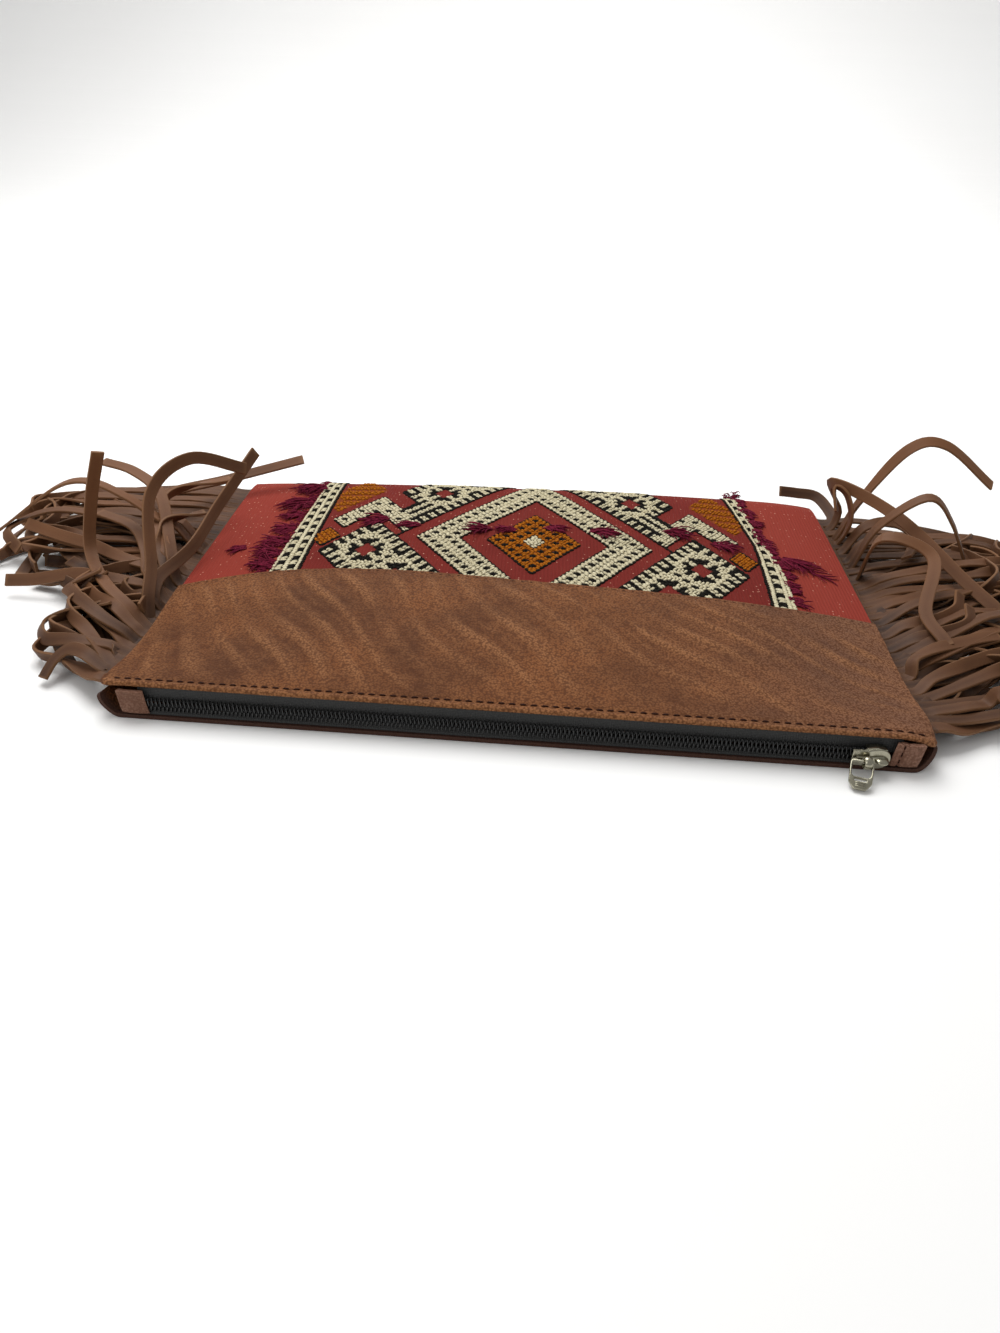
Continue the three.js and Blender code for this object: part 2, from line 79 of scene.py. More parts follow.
def linear(hex_colour):
    """An sRGB hex colour as the linear values that a shader takes."""
    channels = [int(hex_colour[k:k + 2], 16) / 255 for k in (1, 3, 5)]
    return (*[c / 12.92 if c <= 0.04045 else ((c + 0.055) / 1.055) ** 2.4 for c in channels], 1)


def set_inputs(node, inputs):
    """Sets a node's inputs to values or hex colours, or links them to sockets or to nodes' first outputs."""
    for name, value in inputs.items():
        if isinstance(value, bpy.types.Node):
            value = next(socket for socket in value.outputs if socket.enabled)
        if isinstance(value, bpy.types.NodeSocket):
            node.id_data.links.new(value, node.inputs[name])
        elif isinstance(value, str):
            node.inputs[name].default_value = linear(value)
        else:
            node.inputs[name].default_value = value


def add_node(tree, kind, inputs=None, **settings):
    """A new node with its settings, inputs and links."""
    node = tree.nodes.new(kind)
    for name, value in settings.items():
        setattr(node, name, value)
    set_inputs(node, inputs or {})
    return node


def new_material(name):
    """A named material, its node tree, its shader, and the socket that gives the place on the object."""
    material = bpy.data.materials.new(name)
    material.use_nodes = True
    tree = material.node_tree
    place = add_node(tree, "ShaderNodeTexCoord").outputs["Object"]
    return material, tree, tree.nodes["Principled BSDF"], place


bpy.ops.object.select_all(action="DESELECT")
bpy.ops.mesh.primitive_grid_add(x_subdivisions=2, y_subdivisions=FLOOR_ROWS, size=FLOOR_SIZE)
table_top = bpy.context.object
table_top.name = "table_top"
for vertex in table_top.data.vertices:
    vertex.co.z = COVE_RISE * max(0, vertex.co.y - COVE_START) ** 2 - FLOOR_DROP
# Matt white paint, very slightly uneven.
painted, tree, shader, place = new_material("white_painted_board")
haze = add_node(tree, "ShaderNodeTexNoise", {"Vector": place, "Scale": 3, "Detail": 2})
shade = add_node(tree, "ShaderNodeMix", {0: haze, 6: "#F4F3F1", 7: "#F8F8F7"}, data_type="RGBA")
set_inputs(shader, {"Base Color": shade, "Roughness": 0.7})
table_top.data.materials.append(painted)

sky = bpy.data.worlds.new("studio")
bpy.context.scene.world = sky
sky.use_nodes = True
set_inputs(sky.node_tree.nodes["Background"], {"Color": "#FFFFFF", "Strength": SKY_STRENGTH})

LAMPS = (
    # name, place, aim, size, power
    ("ceiling_light", (-0.25, 0.45, 1.1), (0, 0, 0), 0.9, 14.0),
    ("front_light", (-0.75, -0.8, 0.75), (0, 0, 0), 0.7, 3.0),
    ("backdrop_light", (0, 0.9, 1.0), (0, 1.7, 0.1), 1.2, 9.0),
)
for name, spot, target, size, power in LAMPS:
    aim = (Vector(target) - Vector(spot)).to_track_quat("-Z", "Y").to_euler()
    bpy.ops.object.light_add(type="AREA", location=spot, rotation=aim)
    lamp = bpy.context.object
    lamp.name = name
    lamp.data.size = size
    lamp.data.energy = power
bpy.context.scene.view_settings.view_transform = "Standard"

# Back panel
# One piece of soft brown leather, flat on the table. Its edges are turned up into the seams, and its near
# edge is left as a lip under the zip. The table of heights is the front's too, which is sewn to it all round.
# From here on sizes are in millimetres, apart from the flat sizes of the sheets.
MM = 0.001
HALF_WIDTH = 150
HALF_DEPTH = 107.5
SKEW = 3
NEAR_SKEW = 2.5
LEATHER = 1.6
KILIM = 2
GAP = 0.3
FULLNESS_POWER = 2.6
FULLER_LEFT = 0.12
FAR_PUFF = 2.6
FAR_PUFF_FROM = 0.5
FAR_PUFF_OVER = 0.4
FAR_PUFF_RIGHT = 0.3
BACK_INSET = 1
BACK_SHORT = 0.5
BACK_LIP = 3.9
BACK_CORNER = 6
BACK_CORNER_LEFT = 2.5
BACK_CURL = 7
BACK_FAR_CURL = 9
COLUMN_CROWDING = 0.9
FLARE = 3
FLARE_FROM = (110, 84)
FLARE_OVER = (40, 26)
# Width of the painted shade along the lip's cut edge under the zip.
LIP_SHADE_WIDTH = 4
LEATHER_GRAIN = 0.9
LEATHER_NAP = 0.45 * LEATHER_GRAIN


def rows_of(columns, *rows):
    """A table with named columns."""
    return {name: np.array(values, float) for name, values in zip(columns.split(), zip(*rows))}


HEIGHTS = rows_of(
    "at middle side lift",
    (-1.00, 14.6, 14.6, 7.5),
    (-0.85, 16.4, 11.6, 5.6),
    (-0.70, 18.0, 9.4, 3.4),
    (-0.50, 19.6, 8.8, 2.0),
    (-0.36, 20.6, 9.6, 2.0),
    (-0.10, 21.0, 9.8, 2.0),
    (0.30, 20.4, 9.6, 2.0),
    (0.60, 18.8, 9.6, 2.0),
    (0.80, 16.2, 9.4, 1.7),
    (0.92, 12.6, 9.1, 1.1),
    (1.00, 7.8, 7.8, 0.7),
)


def curve_between(start, end, slope_in, slope_out, t):
    """A smooth curve from start to end with the slopes given, t running from 0 to 1."""
    rise = end - start
    bend = 3 * rise - 2 * slope_in - slope_out
    return start + t * slope_in + t**2 * bend + t**3 * (slope_in + slope_out - 2 * rise)


def read_table(rows, column, at):
    """One column of a table, read on a smooth curve through its rows."""
    knots, values = rows["at"], rows[column]
    i = np.clip(np.searchsorted(knots, at) - 1, 0, len(knots) - 2)
    before = np.maximum(i - 1, 0)
    after = np.minimum(i + 2, len(knots) - 1)
    span = knots[i + 1] - knots[i]
    t = np.clip((at - knots[i]) / span, 0, 1)
    slope_in = (values[i + 1] - values[before]) / (knots[i + 1] - knots[before]) * span
    slope_out = (values[after] - values[i]) / (knots[after] - knots[i]) * span
    return curve_between(values[i], values[i + 1], slope_in, slope_out, t)


def far_y(x):
    """The bottom edge of the bag, a little askew."""
    return HALF_DEPTH + SKEW * x / HALF_WIDTH


def near_y(x):
    """The zip edge, askew the other way."""
    return -HALF_DEPTH - NEAR_SKEW * x / HALF_WIDTH


def front_height(x, y):
    """Outer height of the front: full in the middle, fuller on the left, falling to the side seams."""
    across = x / HALF_WIDTH
    along = np.where(y > 0, y / far_y(x), -y / near_y(x))
    side = read_table(HEIGHTS, "side", along)
    fullness = read_table(HEIGHTS, "middle", along) - side
    puffed = np.clip((along - FAR_PUFF_FROM) / FAR_PUFF_OVER, 0, 1) ** 2
    far_puff = FAR_PUFF * puffed * (1 + FAR_PUFF_RIGHT * across) * (1 - across**8)
    return side + fullness * (1 - np.abs(across) ** FULLNESS_POWER) * (1 - FULLER_LEFT * across) + far_puff


def back_height(x, y):
    """Underside of the back: flat on the table, with its side and bottom edges turned up to the seams."""
    along = np.clip(y / HALF_DEPTH, -1, 1)
    side_turn = np.maximum(0, (np.abs(x) - HALF_WIDTH + BACK_INSET + BACK_CURL) / BACK_CURL)
    far_turn = np.maximum(0, (y - far_y(x) + BACK_FAR_CURL) / BACK_FAR_CURL)
    side_lift = read_table(HEIGHTS, "lift", along) * (1 - np.cos(side_turn * math.pi / 2))
    seam_lift = front_height(x, far_y(x)) - 2 * (LEATHER + GAP) - KILIM
    far_lift = seam_lift * (1 - np.cos(far_turn * math.pi / 2))
    return np.maximum(side_lift, far_lift)


def mark_points(mesh, marks):
    """Named values on a mesh's points, for its material to read."""
    for mark, values in marks.items():
        mesh.attributes.new(mark, "FLOAT", "POINT").data.foreach_set("value", values.astype(np.float32))


def panel(name, columns, rows, shape, thickness, marks=None):
    """A grid moved to shape(u, v) in millimetres, thickened behind its face, with marks on its points."""
    bpy.ops.object.select_all(action="DESELECT")
    bpy.ops.mesh.primitive_grid_add(x_subdivisions=columns, y_subdivisions=rows, size=1)
    piece = bpy.context.object
    piece.name = name
    flat = np.zeros(len(piece.data.vertices) * 3)
    piece.data.vertices.foreach_get("co", flat)
    u, v = flat.reshape(-1, 3)[:, :2].T + 0.5
    points = np.stack(shape(u, v), axis=1)
    piece.data.vertices.foreach_set("co", (MM * points).ravel())
    if marks:
        mark_points(piece.data, marks(v, points))
    wall = piece.modifiers.new("wall", "SOLIDIFY")
    wall.thickness = thickness * MM
    wall.offset = -1
    bpy.ops.object.modifier_apply(modifier="wall")
    bpy.ops.object.shade_smooth_by_angle(angle=math.radians(50))
    return piece


def soft_leather(name, base, pale, dark):
    """Oiled split leather, short-napped: mottled, pebbled by its grain, paler where stretched and worn, with
    painted light and shade.
    """
    material, tree, shader, place = new_material(name)
    broad = add_node(tree, "ShaderNodeTexNoise", {"Vector": place, "Scale": 1 / (28 * MM), "Detail": 3})
    specks = {"Vector": place, "Scale": 1 / (5.5 * MM), "Detail": 5, "Roughness": 0.65}
    speck = add_node(tree, "ShaderNodeTexNoise", specks)
    pebble = add_node(tree, "ShaderNodeTexVoronoi", {"Vector": place, "Scale": 1 / (LEATHER_GRAIN * MM)})
    naps = {"Vector": place, "Scale": 1 / (LEATHER_NAP * MM), "Detail": 3}
    nap = add_node(tree, "ShaderNodeTexNoise", naps)
    stretch, greyer, lip_shade = (
        add_node(tree, "ShaderNodeAttribute", attribute_name=mark).outputs["Fac"]
        for mark in ("stretch", "greyer", "dyed_edge")
    )
    depth = add_node(tree, "ShaderNodeMapRange", {"Value": broad, "From Min": 0.32, "From Max": 0.68})
    mottles = {"Value": speck, "From Min": 0.35, "From Max": 0.72, "To Max": 0.28}
    mottle = add_node(tree, "ShaderNodeMapRange", mottles)
    grey = add_node(tree, "ShaderNodeMath", {0: greyer, 1: 0.6}, operation="MULTIPLY")
    streak = add_node(tree, "ShaderNodeMath", {0: stretch, 1: 0.7}, operation="MULTIPLY")
    pits = {"Value": pebble, "From Min": 0.34, "From Max": 0.7, "To Max": 0.74}
    pit = add_node(tree, "ShaderNodeMapRange", pits)
    colour = dark
    for share, over in (
        (depth, base),
        (mottle, pale),
        (grey, "#7C5E4F"),
        # Paler on stretched ridges and worn edges, with painted highlight on the hem's nose.
        (streak, pale),
        (pit, dark),
        # Painted shade on the lip under the zip.
        (lip_shade, "#3E2A24"),
    ):
        colour = add_node(tree, "ShaderNodeMix", {0: share, 6: colour, 7: over}, data_type="RGBA")
    relief = add_node(tree, "ShaderNodeMath", {0: nap, 1: pebble}, operation="SUBTRACT")
    bump = add_node(tree, "ShaderNodeBump", {"Height": relief, "Strength": 0.8, "Distance": 0.3 * MM})
    set_inputs(shader, {"Base Color": colour, "Normal": bump, "Roughness": 0.74, "Specular IOR Level": 0.15})
    return material


def corner_flare(x, y):
    """The near left corner has been pulled out a little."""
    out = np.clip((-x - FLARE_FROM[0]) / FLARE_OVER[0], 0, 1)
    near = np.clip((-y - FLARE_FROM[1]) / FLARE_OVER[1], 0, 1)
    return -FLARE * near**2 * out


def back_shape(u, v):
    """The back's upper face, its columns closer together near the sides, where the corners are rounded."""
    half = HALF_WIDTH - BACK_INSET
    x = half * (2 * u - 1 - COLUMN_CROWDING * np.sin(2 * np.pi * u) / np.pi)
    corner = np.where(x < 0, BACK_CORNER_LEFT, BACK_CORNER)
    past = np.maximum(0, np.abs(x) - (half - corner))
    near = near_y(x) - BACK_LIP + corner - np.sqrt(np.maximum(0, corner**2 - past**2))
    y = near + (far_y(x) - BACK_SHORT - near) * v
    return x + corner_flare(x, y), y, back_height(x, y) + LEATHER


def back_marks(v, points):
    """The lip under the zip is painted dark along its cut edge, as shade under the zip."""
    return {"dyed_edge": 0.9 * np.clip(1.4 - v * 2 * HALF_DEPTH / LIP_SHADE_WIDTH, 0, 1)}


brown_leather = soft_leather("oiled_brown_leather", "#7B4A27", "#9A6943", "#4B2812")
leather_back = panel("leather_back", 200, 130, back_shape, LEATHER, back_marks)
leather_back.data.materials.append(brown_leather)
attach(leather_back, "bag")
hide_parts("back_leather_panel")

# Kilim cloth
# A piece cut from an old flat-woven rug, red wool weft packed over cotton warps. It is the far half of the
# front and runs a little way under the leather, which is sewn on top of it.
LAP = 8
KILIM_FLAT = (0.302, 0.146)
WEFT_PITCH = 0.9
WARP_PITCH = 1.6
NEEDLEWORK_HALF = 112
# A wave texture of scale 1 repeats at this distance.
WAVE_REPEAT = 0.314
SEAM = rows_of(
    "at y",
    (-1.00, -23),
    (-0.72, -18),
    (-0.40, -18),
    (0.10, -23),
    (0.60, -24),
    (1.00, -23),
)

# The needlework is charted on squares that stand on their corners. A square is counted along the two slanting
# directions, from the middle of the central diamond, and the right half mirrors the left.
CHART_MIDDLE = (3.0, 21.0)
SQUARE_ACROSS = 1.65
SQUARE_ALONG = 2.56
RINGS = (
    # outer ring of squares, area, yarn
    (1, "heart", "cream"),
    (6, "honey", "orange"),
    (10, "inner_red", "red"),
    (16, "ring", "cream"),
    (19, "outer_red", "red"),
)
PATCHES = (
    # area, squares along the rising slant, squares along the falling slant, yarn
    ("near_comb", (-32, -20), (-26, 99), "cream"),
    ("far_comb", (-9, 99), (-32, -20), "cream"),
    ("far_comb", (-13, -10), (-26, -20), "cream"),
    ("chevron", (-25, -14), (-33, -30), "cream"),
    ("chevron", (-17, -14), (-33, -20), "cream"),
    ("spark", (-31, -28), (-31, -28), "orange"),
    ("far_spark", (-23, -12), (-42, -36), "orange"),
)
# Rings of squares with black dots. The cream area's have them on even squares, 0, or odd ones, 1.
RING_DOTS = {12: 0, 15: 1}
HONEY_DOTS = (3, 5)
COMB_MIDDLE = -26
COMB_HALF = 5
# First motif of each comb and the step from one to the next.
COMB_CENTRES = {"near_comb": (-20, 10), "far_comb": (-3, 10)}
LEFT_BORDER = rows_of("at inner outer", (-30, -99.8, -112.7), (90, -99.5, -108.5), (115, -99.5, -107.8))
RIGHT_BORDER = rows_of(
    "at inner outer",
    (-30, 107.0, 116.6),
    (14, 108.5, 117.8),
    (40, 109.0, 115.0),
    (50, 108.2, 112.6),
    (75, 105.0, 110.8),
    (100, 101.6, 107.4),
    (115, 100.2, 105.8),
)


def seam_y(x):
    """The edge of the front leather, where it laps over the kilim."""
    return read_table(SEAM, "y", x / HALF_WIDTH)


def kilim_height(x, y):
    """The kilim's outer face, one thickness of leather below the front's."""
    return front_height(x, y) - LEATHER - GAP


def chart_square(x, y):
    """The chart's square at a point of the cloth, both halves counted as the left one."""
    across = -np.abs(x - CHART_MIDDLE[0]) / SQUARE_ACROSS
    along = (y - CHART_MIDDLE[1]) / SQUARE_ALONG
    return (across + along) / 2, (across - along) / 2


def area_of(i, j):
    """The area of the chart that a square belongs to, and the yarn it is mostly worked in."""
    ring = max(abs(i), abs(j))
    for limit, area, yarn in RINGS:
        if ring <= limit:
            return area, yarn
    for area, (i_from, i_to), (j_from, j_to), yarn in PATCHES:
        if i_from <= i <= i_to and j_from <= j <= j_to:
            return area, yarn
    return "ground", "red"


def comb_place(area, i, j):
    """A comb's square, counted over and along the comb from the middle of the nearest motif."""
    over, along = (i, j) if area == "near_comb" else (j, i)
    first, step = COMB_CENTRES[area]
    along -= first
    if along >= step / 2:
        along = (along + step // 2) % step - step // 2
    return over - COMB_MIDDLE, along


def yarn_of(i, j):
    """The area and yarn of one square, with the dots, comb teeth and small crosses inside the areas."""
    area, yarn = area_of(i, j)
    ring = max(abs(i), abs(j))
    dotted = False
    if area == "ring":
        dotted = (i if abs(j) == ring else j) % 2 == RING_DOTS.get(ring)
    elif area == "honey":
        dotted = ring in HONEY_DOTS and (i + j) % 2 == 0
    elif area == "chevron":
        dotted = (i + j) % 4 == 0 and i % 2 == 0
    elif area in COMB_CENTRES:
        over, along = comb_place(area, i, j)
        nearer, farther = sorted((abs(over), abs(along)))
        if abs(over) >= COMB_HALF:
            dotted = along % 2 == 0
        elif along <= -COMB_HALF:
            dotted = over % 2 == 0
        elif farther <= 1:
            yarn = "red"
        else:
            cross = farther == 2 and nearer > 0
            tooth = farther == 3 and nearer == 1
            corner = nearer == COMB_HALF - 1
            dotted = cross or tooth or corner
    return area, "black" if dotted else yarn


def border_share(x, y):
    """How far across a border band a point is, 0 to 1 inside it."""
    shares = []
    for border in (LEFT_BORDER, RIGHT_BORDER):
        inner, outer = read_table(border, "inner", y), read_table(border, "outer", y)
        shares.append((x - inner) / (outer - inner))
    return np.where(x < 0, *shares)


def kilim_shape(u, v):
    """From under the leather to the bottom edge."""
    x = HALF_WIDTH * (2 * u - 1)
    near = seam_y(x) - LAP
    y = near + (far_y(x) - near) * v
    return x, y, kilim_height(x, y)


def kilim_marks(v, points):
    """Which yarn shows between the stitches: dark under cream and black, orange under orange, else red."""
    x, y = points[:, 0], points[:, 1]
    i, j = chart_square(x, y)
    share = border_share(x, y)
    yarns = np.array([yarn_of(round(a), round(b))[1] for a, b in zip(i, j)])
    band = (share > 0) & (share < 1)
    inside = (share <= 0) & (np.abs(x) < NEEDLEWORK_HALF)
    return {
        "dark_yarn": np.isin(yarns, ("cream", "black")) & inside | band,
        "orange_yarn": (yarns == "orange") & inside,
        "margin": share >= 1,
    }


def woven_wool():
    """Weft-faced wool: fine ribs along the weft, thread ends of undyed cotton showing as pale flecks."""
    material, tree, shader, place = new_material("flat_woven_red_wool")
    flat = add_node(tree, "ShaderNodeUVMap")
    real = add_node(tree, "ShaderNodeMapping", {"Vector": flat, "Scale": (*KILIM_FLAT, 1)})
    ribs = []
    for pitch, slack, direction in ((WEFT_PITCH, 1.5, "Y"), (WARP_PITCH, 1.2, "X")):
        bands = {
            "Vector": real,
            "Scale": WAVE_REPEAT / (pitch * MM),
            "Distortion": slack,
            "Detail": 2,
            "Detail Scale": 2,
        }
        ribs.append(add_node(tree, "ShaderNodeTexWave", bands, bands_direction=direction).outputs["Fac"])
    weave = add_node(tree, "ShaderNodeMath", {0: ribs[0], 1: ribs[1]}, operation="MULTIPLY")
    shadow = add_node(tree, "ShaderNodeMapRange", {"Value": weave, "To Min": 0.36, "To Max": 0})
    broad = add_node(tree, "ShaderNodeTexNoise", {"Vector": place, "Scale": 1 / (20 * MM), "Detail": 4})
    fleck = add_node(tree, "ShaderNodeTexVoronoi", {"Vector": place, "Scale": 1 / (2.4 * MM)})
    spot = add_node(tree, "ShaderNodeMapRange", {"Value": fleck, "From Min": 0.16, "From Max": 0.1})
    pick = add_node(tree, "ShaderNodeSeparateColor", {0: fleck.outputs["Color"]})
    few = add_node(tree, "ShaderNodeMath", {0: pick, 1: 0.45}, operation="GREATER_THAN")
    flecks = add_node(tree, "ShaderNodeMath", {0: spot, 1: few}, operation="MULTIPLY")
    margin, orange, dark = (
        add_node(tree, "ShaderNodeAttribute", attribute_name=mark).outputs["Fac"]
        for mark in ("margin", "orange_yarn", "dark_yarn")
    )
    pinker = add_node(tree, "ShaderNodeMath", {0: margin, 1: 0.85}, operation="MULTIPLY")
    colour = "#66201B"
    for share, over in (
        (broad, "#812F27"),
        (pinker, "#9C4033"),
        (flecks, "#DFA48C"),
        (shadow, "#5A1713"),
        (orange, "#7A3A16"),
        (dark, "#1E1C17"),
    ):
        colour = add_node(tree, "ShaderNodeMix", {0: share, 6: colour, 7: over}, data_type="RGBA")
    bump = add_node(tree, "ShaderNodeBump", {"Height": weave, "Strength": 0.8, "Distance": 0.4 * MM})
    set_inputs(shader, {"Base Color": colour, "Normal": bump, "Roughness": 0.95, "Specular IOR Level": 0.12})
    return material


kilim_cloth = panel("kilim_cloth", 260, 118, kilim_shape, KILIM, kilim_marks)
kilim_cloth.data.materials.append(woven_wool())
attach(kilim_cloth, "bag")
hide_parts("front_kilim_panel")

# Kilim needlework
# Raised stitches of two-ply wool in cream, black and orange, worked over the red ground along the chart's two
# slants: full squares in the cream areas, a thin black line round every area, a dotted band down each side.
# Each yarn's colour, lit and in painted shade.
YARN_COLOURS = {
    "cream": ("#DAD2B4", "#A89C7C"),
    "black": ("#1C1914", "#0E0C09"),
    "orange": ("#B0670F", "#743C08"),
}
YARN_WIDTH = 1.5
YARN_HEIGHT = 1.15
BLACK_HEIGHT = 0.75 * YARN_HEIGHT
SQUARE_OVERLAP = 1.12
LINE_WIDTH = 1.6
LINE_HEIGHT = 0.9
LINE_OUT = 0.7
LINE_OVERLAP = 1.2
STITCH_BLUNTNESS = 2.4
STITCH_LIFT = 0.12
UNDER_SEAM = 2
EDGE_CLEAR = 1.5
BORDER_CLEAR = 2
BORDER_START = -30
BORDER_STEP = 2.2
PLAIN_LEAN = 0.2
PLAIN_HEIGHT = 1.0
PLAIN_OVERLAP = 1.5
DOT_SLANT = 0.35
DOT_WIDTH = 1.2
DOT_OVERLAP = 1.15
DOT_PLY = 0.55
# How far a stitch may be out of true: x, y, heading, then shares of its length, width and height.
STITCH_SLACK = (0.18, 0.18, 0.14, 0.12, 0.1, 0.15)
# Columns of a border band: share of its width from the inner edge, width as a share, first dark row of four.
LEFT_BAND = ((0.07, 0.14, None), (0.27, 0.28, 0), (0.50, 0.22, None), (0.73, 0.28, 2), (0.93, 0.14, None))
RIGHT_BAND = ((0.12, 0.24, None), (0.46, 0.42, 1), (0.72, 0.26, None), (0.92, 0.22, None))
stitch_random = random.Random(4)


def grain_shape(sides, rings):
    """A unit grain along X, round in section and blunt at its ends: points and faces."""
    points = [(-0.5, 0, 0)]
    for k in range(1, rings + 1):
        x = -0.5 + k / (rings + 1)
        girth = 0.5 * (1 - abs(2 * x) ** STITCH_BLUNTNESS) ** 0.5
        for s in range(sides):
            turn = 2 * math.pi * s / sides
            points.append((x, girth * math.cos(turn), girth * math.sin(turn)))
    points.append((0.5, 0, 0))
    faces = []
    for s in range(sides):
        ring = [(1 + k * sides + s, 1 + k * sides + (s + 1) % sides) for k in range(rings)]
        faces.append((0, *reversed(ring[0])))
        faces += [(*low, *reversed(high)) for low, high in zip(ring, ring[1:])]
        faces.append((len(points) - 1, *ring[-1]))
    return np.array(points), faces


def mesh_piece(name, points, faces, material):
    """A smooth piece from points in millimetres."""
    mesh = bpy.data.meshes.new(name)
    mesh.from_pydata((MM * points).tolist(), [], faces)
    mesh.shade_smooth()
    mesh.materials.append(material)
    piece = bpy.data.objects.new(name, mesh)
    bpy.context.scene.collection.objects.link(piece)
    return piece


stitch_points, stitch_faces = grain_shape(sides=6, rings=3)


def stitch_piece(name, origins, axes, material):
    """One piece of many stitches, each a grain with its own origin and three axes."""
    cloud = np.einsum("pk,nkd->npd", stitch_points, axes) + origins[:, None]
    starts = len(stitch_points) * np.arange(len(origins))
    faces = [tuple(start + corner for corner in face) for start in starts.tolist() for face in stitch_faces]
    return mesh_piece(name, cloud.reshape(-1, 3), faces, material)


def axes_on(height, x, y, heading, size):
    """Origins on a surface and the axes of stitches that lie on it, from their headings and their sizes."""
    nudge = 0.5
    slope_x = (height(x + nudge, y) - height(x - nudge, y)) / (2 * nudge)
    slope_y = (height(x, y + nudge) - height(x, y - nudge)) / (2 * nudge)
    up = np.stack([-slope_x, -slope_y, np.ones_like(x)], axis=1)
    up /= np.linalg.norm(up, axis=1, keepdims=True)
    climb = slope_x * np.cos(heading) + slope_y * np.sin(heading)
    lead = np.stack([np.cos(heading), np.sin(heading), climb], axis=1)
    lead /= np.linalg.norm(lead, axis=1, keepdims=True)
    side = np.cross(up, lead)
    axes = np.stack([lead * size[:, :1], side * size[:, 1:2], up * size[:, 2:]], axis=1)
    return np.stack([x, y, height(x, y)], axis=1), axes


def wool(name, lit, shaded):
    """Two-ply wool yarn: matt, with painted shade in the fine gaps between its fibres."""
    material, tree, shader, place = new_material(name)
    fibres = {"Vector": place, "Scale": 1 / (0.7 * MM), "Detail": 4, "Roughness": 0.7}
    fibre = add_node(tree, "ShaderNodeTexNoise", fibres)
    shade = add_node(tree, "ShaderNodeMapRange", {"Value": fibre, "From Min": 0.38, "From Max": 0.62})
    mixed = add_node(tree, "ShaderNodeMix", {0: shade, 6: shaded, 7: lit}, data_type="RGBA")
    bump = add_node(tree, "ShaderNodeBump", {"Height": fibre, "Strength": 0.6, "Distance": 0.3 * MM})
    set_inputs(shader, {"Base Color": mixed, "Normal": bump, "Roughness": 0.95, "Specular IOR Level": 0.1})
    return material


# Every stitch is a row of x, y, heading, length, width and height.
stitches = {yarn: [] for yarn in YARN_COLOURS}


def on_kilim(x, y):
    """Whether a point is between the edge of the leather and the bottom edge."""
    return seam_y(x) - UNDER_SEAM < y < far_y(x) - EDGE_CLEAR


def on_chart(x, y):
    """Whether a point is also between the two border bands."""
    left, right = (read_table(border, "inner", y) for border in (LEFT_BORDER, RIGHT_BORDER))
    return on_kilim(x, y) and left + BORDER_CLEAR < x < right - BORDER_CLEAR


def sew(yarn, x, y, heading, length, width, height):
    """Adds one stitch, a little out of true as handwork is."""
    slack = [stitch_random.uniform(-amount, amount) for amount in STITCH_SLACK]
    place = [value + loose for value, loose in zip((x, y, heading), slack)]
    size = [value * (1 + loose) for value, loose in zip((length, width, height), slack[3:])]
    stitches[yarn].append((*place, *size))


def cloth_places(i, j):
    """Where a chart square is on the cloth, in the left half and mirrored in the right, with the sign."""
    across = SQUARE_ACROSS * (i + j)
    y = CHART_MIDDLE[1] + SQUARE_ALONG * (i - j)
    sides = (1,) if abs(across) < 1e-6 else (1, -1)
    return [(CHART_MIDDLE[0] + side * across, y, side) for side in sides]


SLANT = math.atan2(SQUARE_ALONG, SQUARE_ACROSS)
SLANT_LENGTH = math.hypot(SQUARE_ALONG, SQUARE_ACROSS)
PLY_APART = 0.27 * SLANT_LENGTH
REACH = 46
for i in range(-REACH, REACH + 1):
    for j in range(-REACH, min(REACH, -i) + 1):
        area, yarn = yarn_of(i, j)
        rising = area == "near_comb" or (area in ("ring", "honey") and abs(i) > abs(j))
        if area in COMB_CENTRES and abs(comb_place(area, i, j)[0]) < COMB_HALF - 1:
            rising = (i + j) % 2 == 0
        sparse = area == "far_spark" and (i + 2 * j) % 3 == 0
        for x, y, side in cloth_places(i, j):
            if yarn == "red" or sparse or not on_chart(x, y):
                continue
            heading = side * (SLANT if rising else -SLANT)
            height = BLACK_HEIGHT if yarn == "black" else YARN_HEIGHT
            for ply in (-PLY_APART, PLY_APART):
                ply_x, ply_y = x - ply * math.sin(heading), y + ply * math.cos(heading)
                sew(yarn, ply_x, ply_y, heading, SQUARE_OVERLAP * SLANT_LENGTH, YARN_WIDTH, height)
        for step_i, step_j in ((1, 0), (0, 1)):
            other = area_of(i + step_i, j + step_j)[0]
            if other == area or {other, area} == {"ground", "far_spark"}:
                continue
            for x, y, side in cloth_places(i + step_i / 2, j + step_j / 2):
                if on_chart(x, y):
                    heading = side * (-SLANT if step_i else SLANT)
                    sew("black", x, y, heading, LINE_OVERLAP * SLANT_LENGTH, LINE_WIDTH, LINE_HEIGHT)

for side, border, columns in ((-1, LEFT_BORDER, LEFT_BAND), (1, RIGHT_BORDER, RIGHT_BAND)):
    for row in range(int((far_y(0) - BORDER_START) / BORDER_STEP)):
        y = BORDER_START + row * BORDER_STEP
        inner, outer = float(read_table(border, "inner", y)), float(read_table(border, "outer", y))
        if not on_kilim(inner, y):
            continue
        line_x = inner - side * LINE_OUT
        sew("black", line_x, y, math.pi / 2, LINE_OVERLAP * BORDER_STEP, LINE_WIDTH, LINE_HEIGHT)
        for share, width_share, first_dark in columns:
            x = inner + share * (outer - inner)
            width = width_share * abs(outer - inner)
            if first_dark is None:
                heading = math.pi / 2 + PLAIN_LEAN * side
                sew("cream", x, y, heading, PLAIN_OVERLAP * BORDER_STEP, width, PLAIN_HEIGHT)
                continue
            yarn = "black" if (row - first_dark) % 4 < 2 else "cream"
            heading = DOT_SLANT * (1 if row % 2 else -1)
            for ply in (-DOT_PLY, DOT_PLY):
                sew(yarn, x, y + ply, heading, DOT_OVERLAP * width, DOT_WIDTH, YARN_HEIGHT)

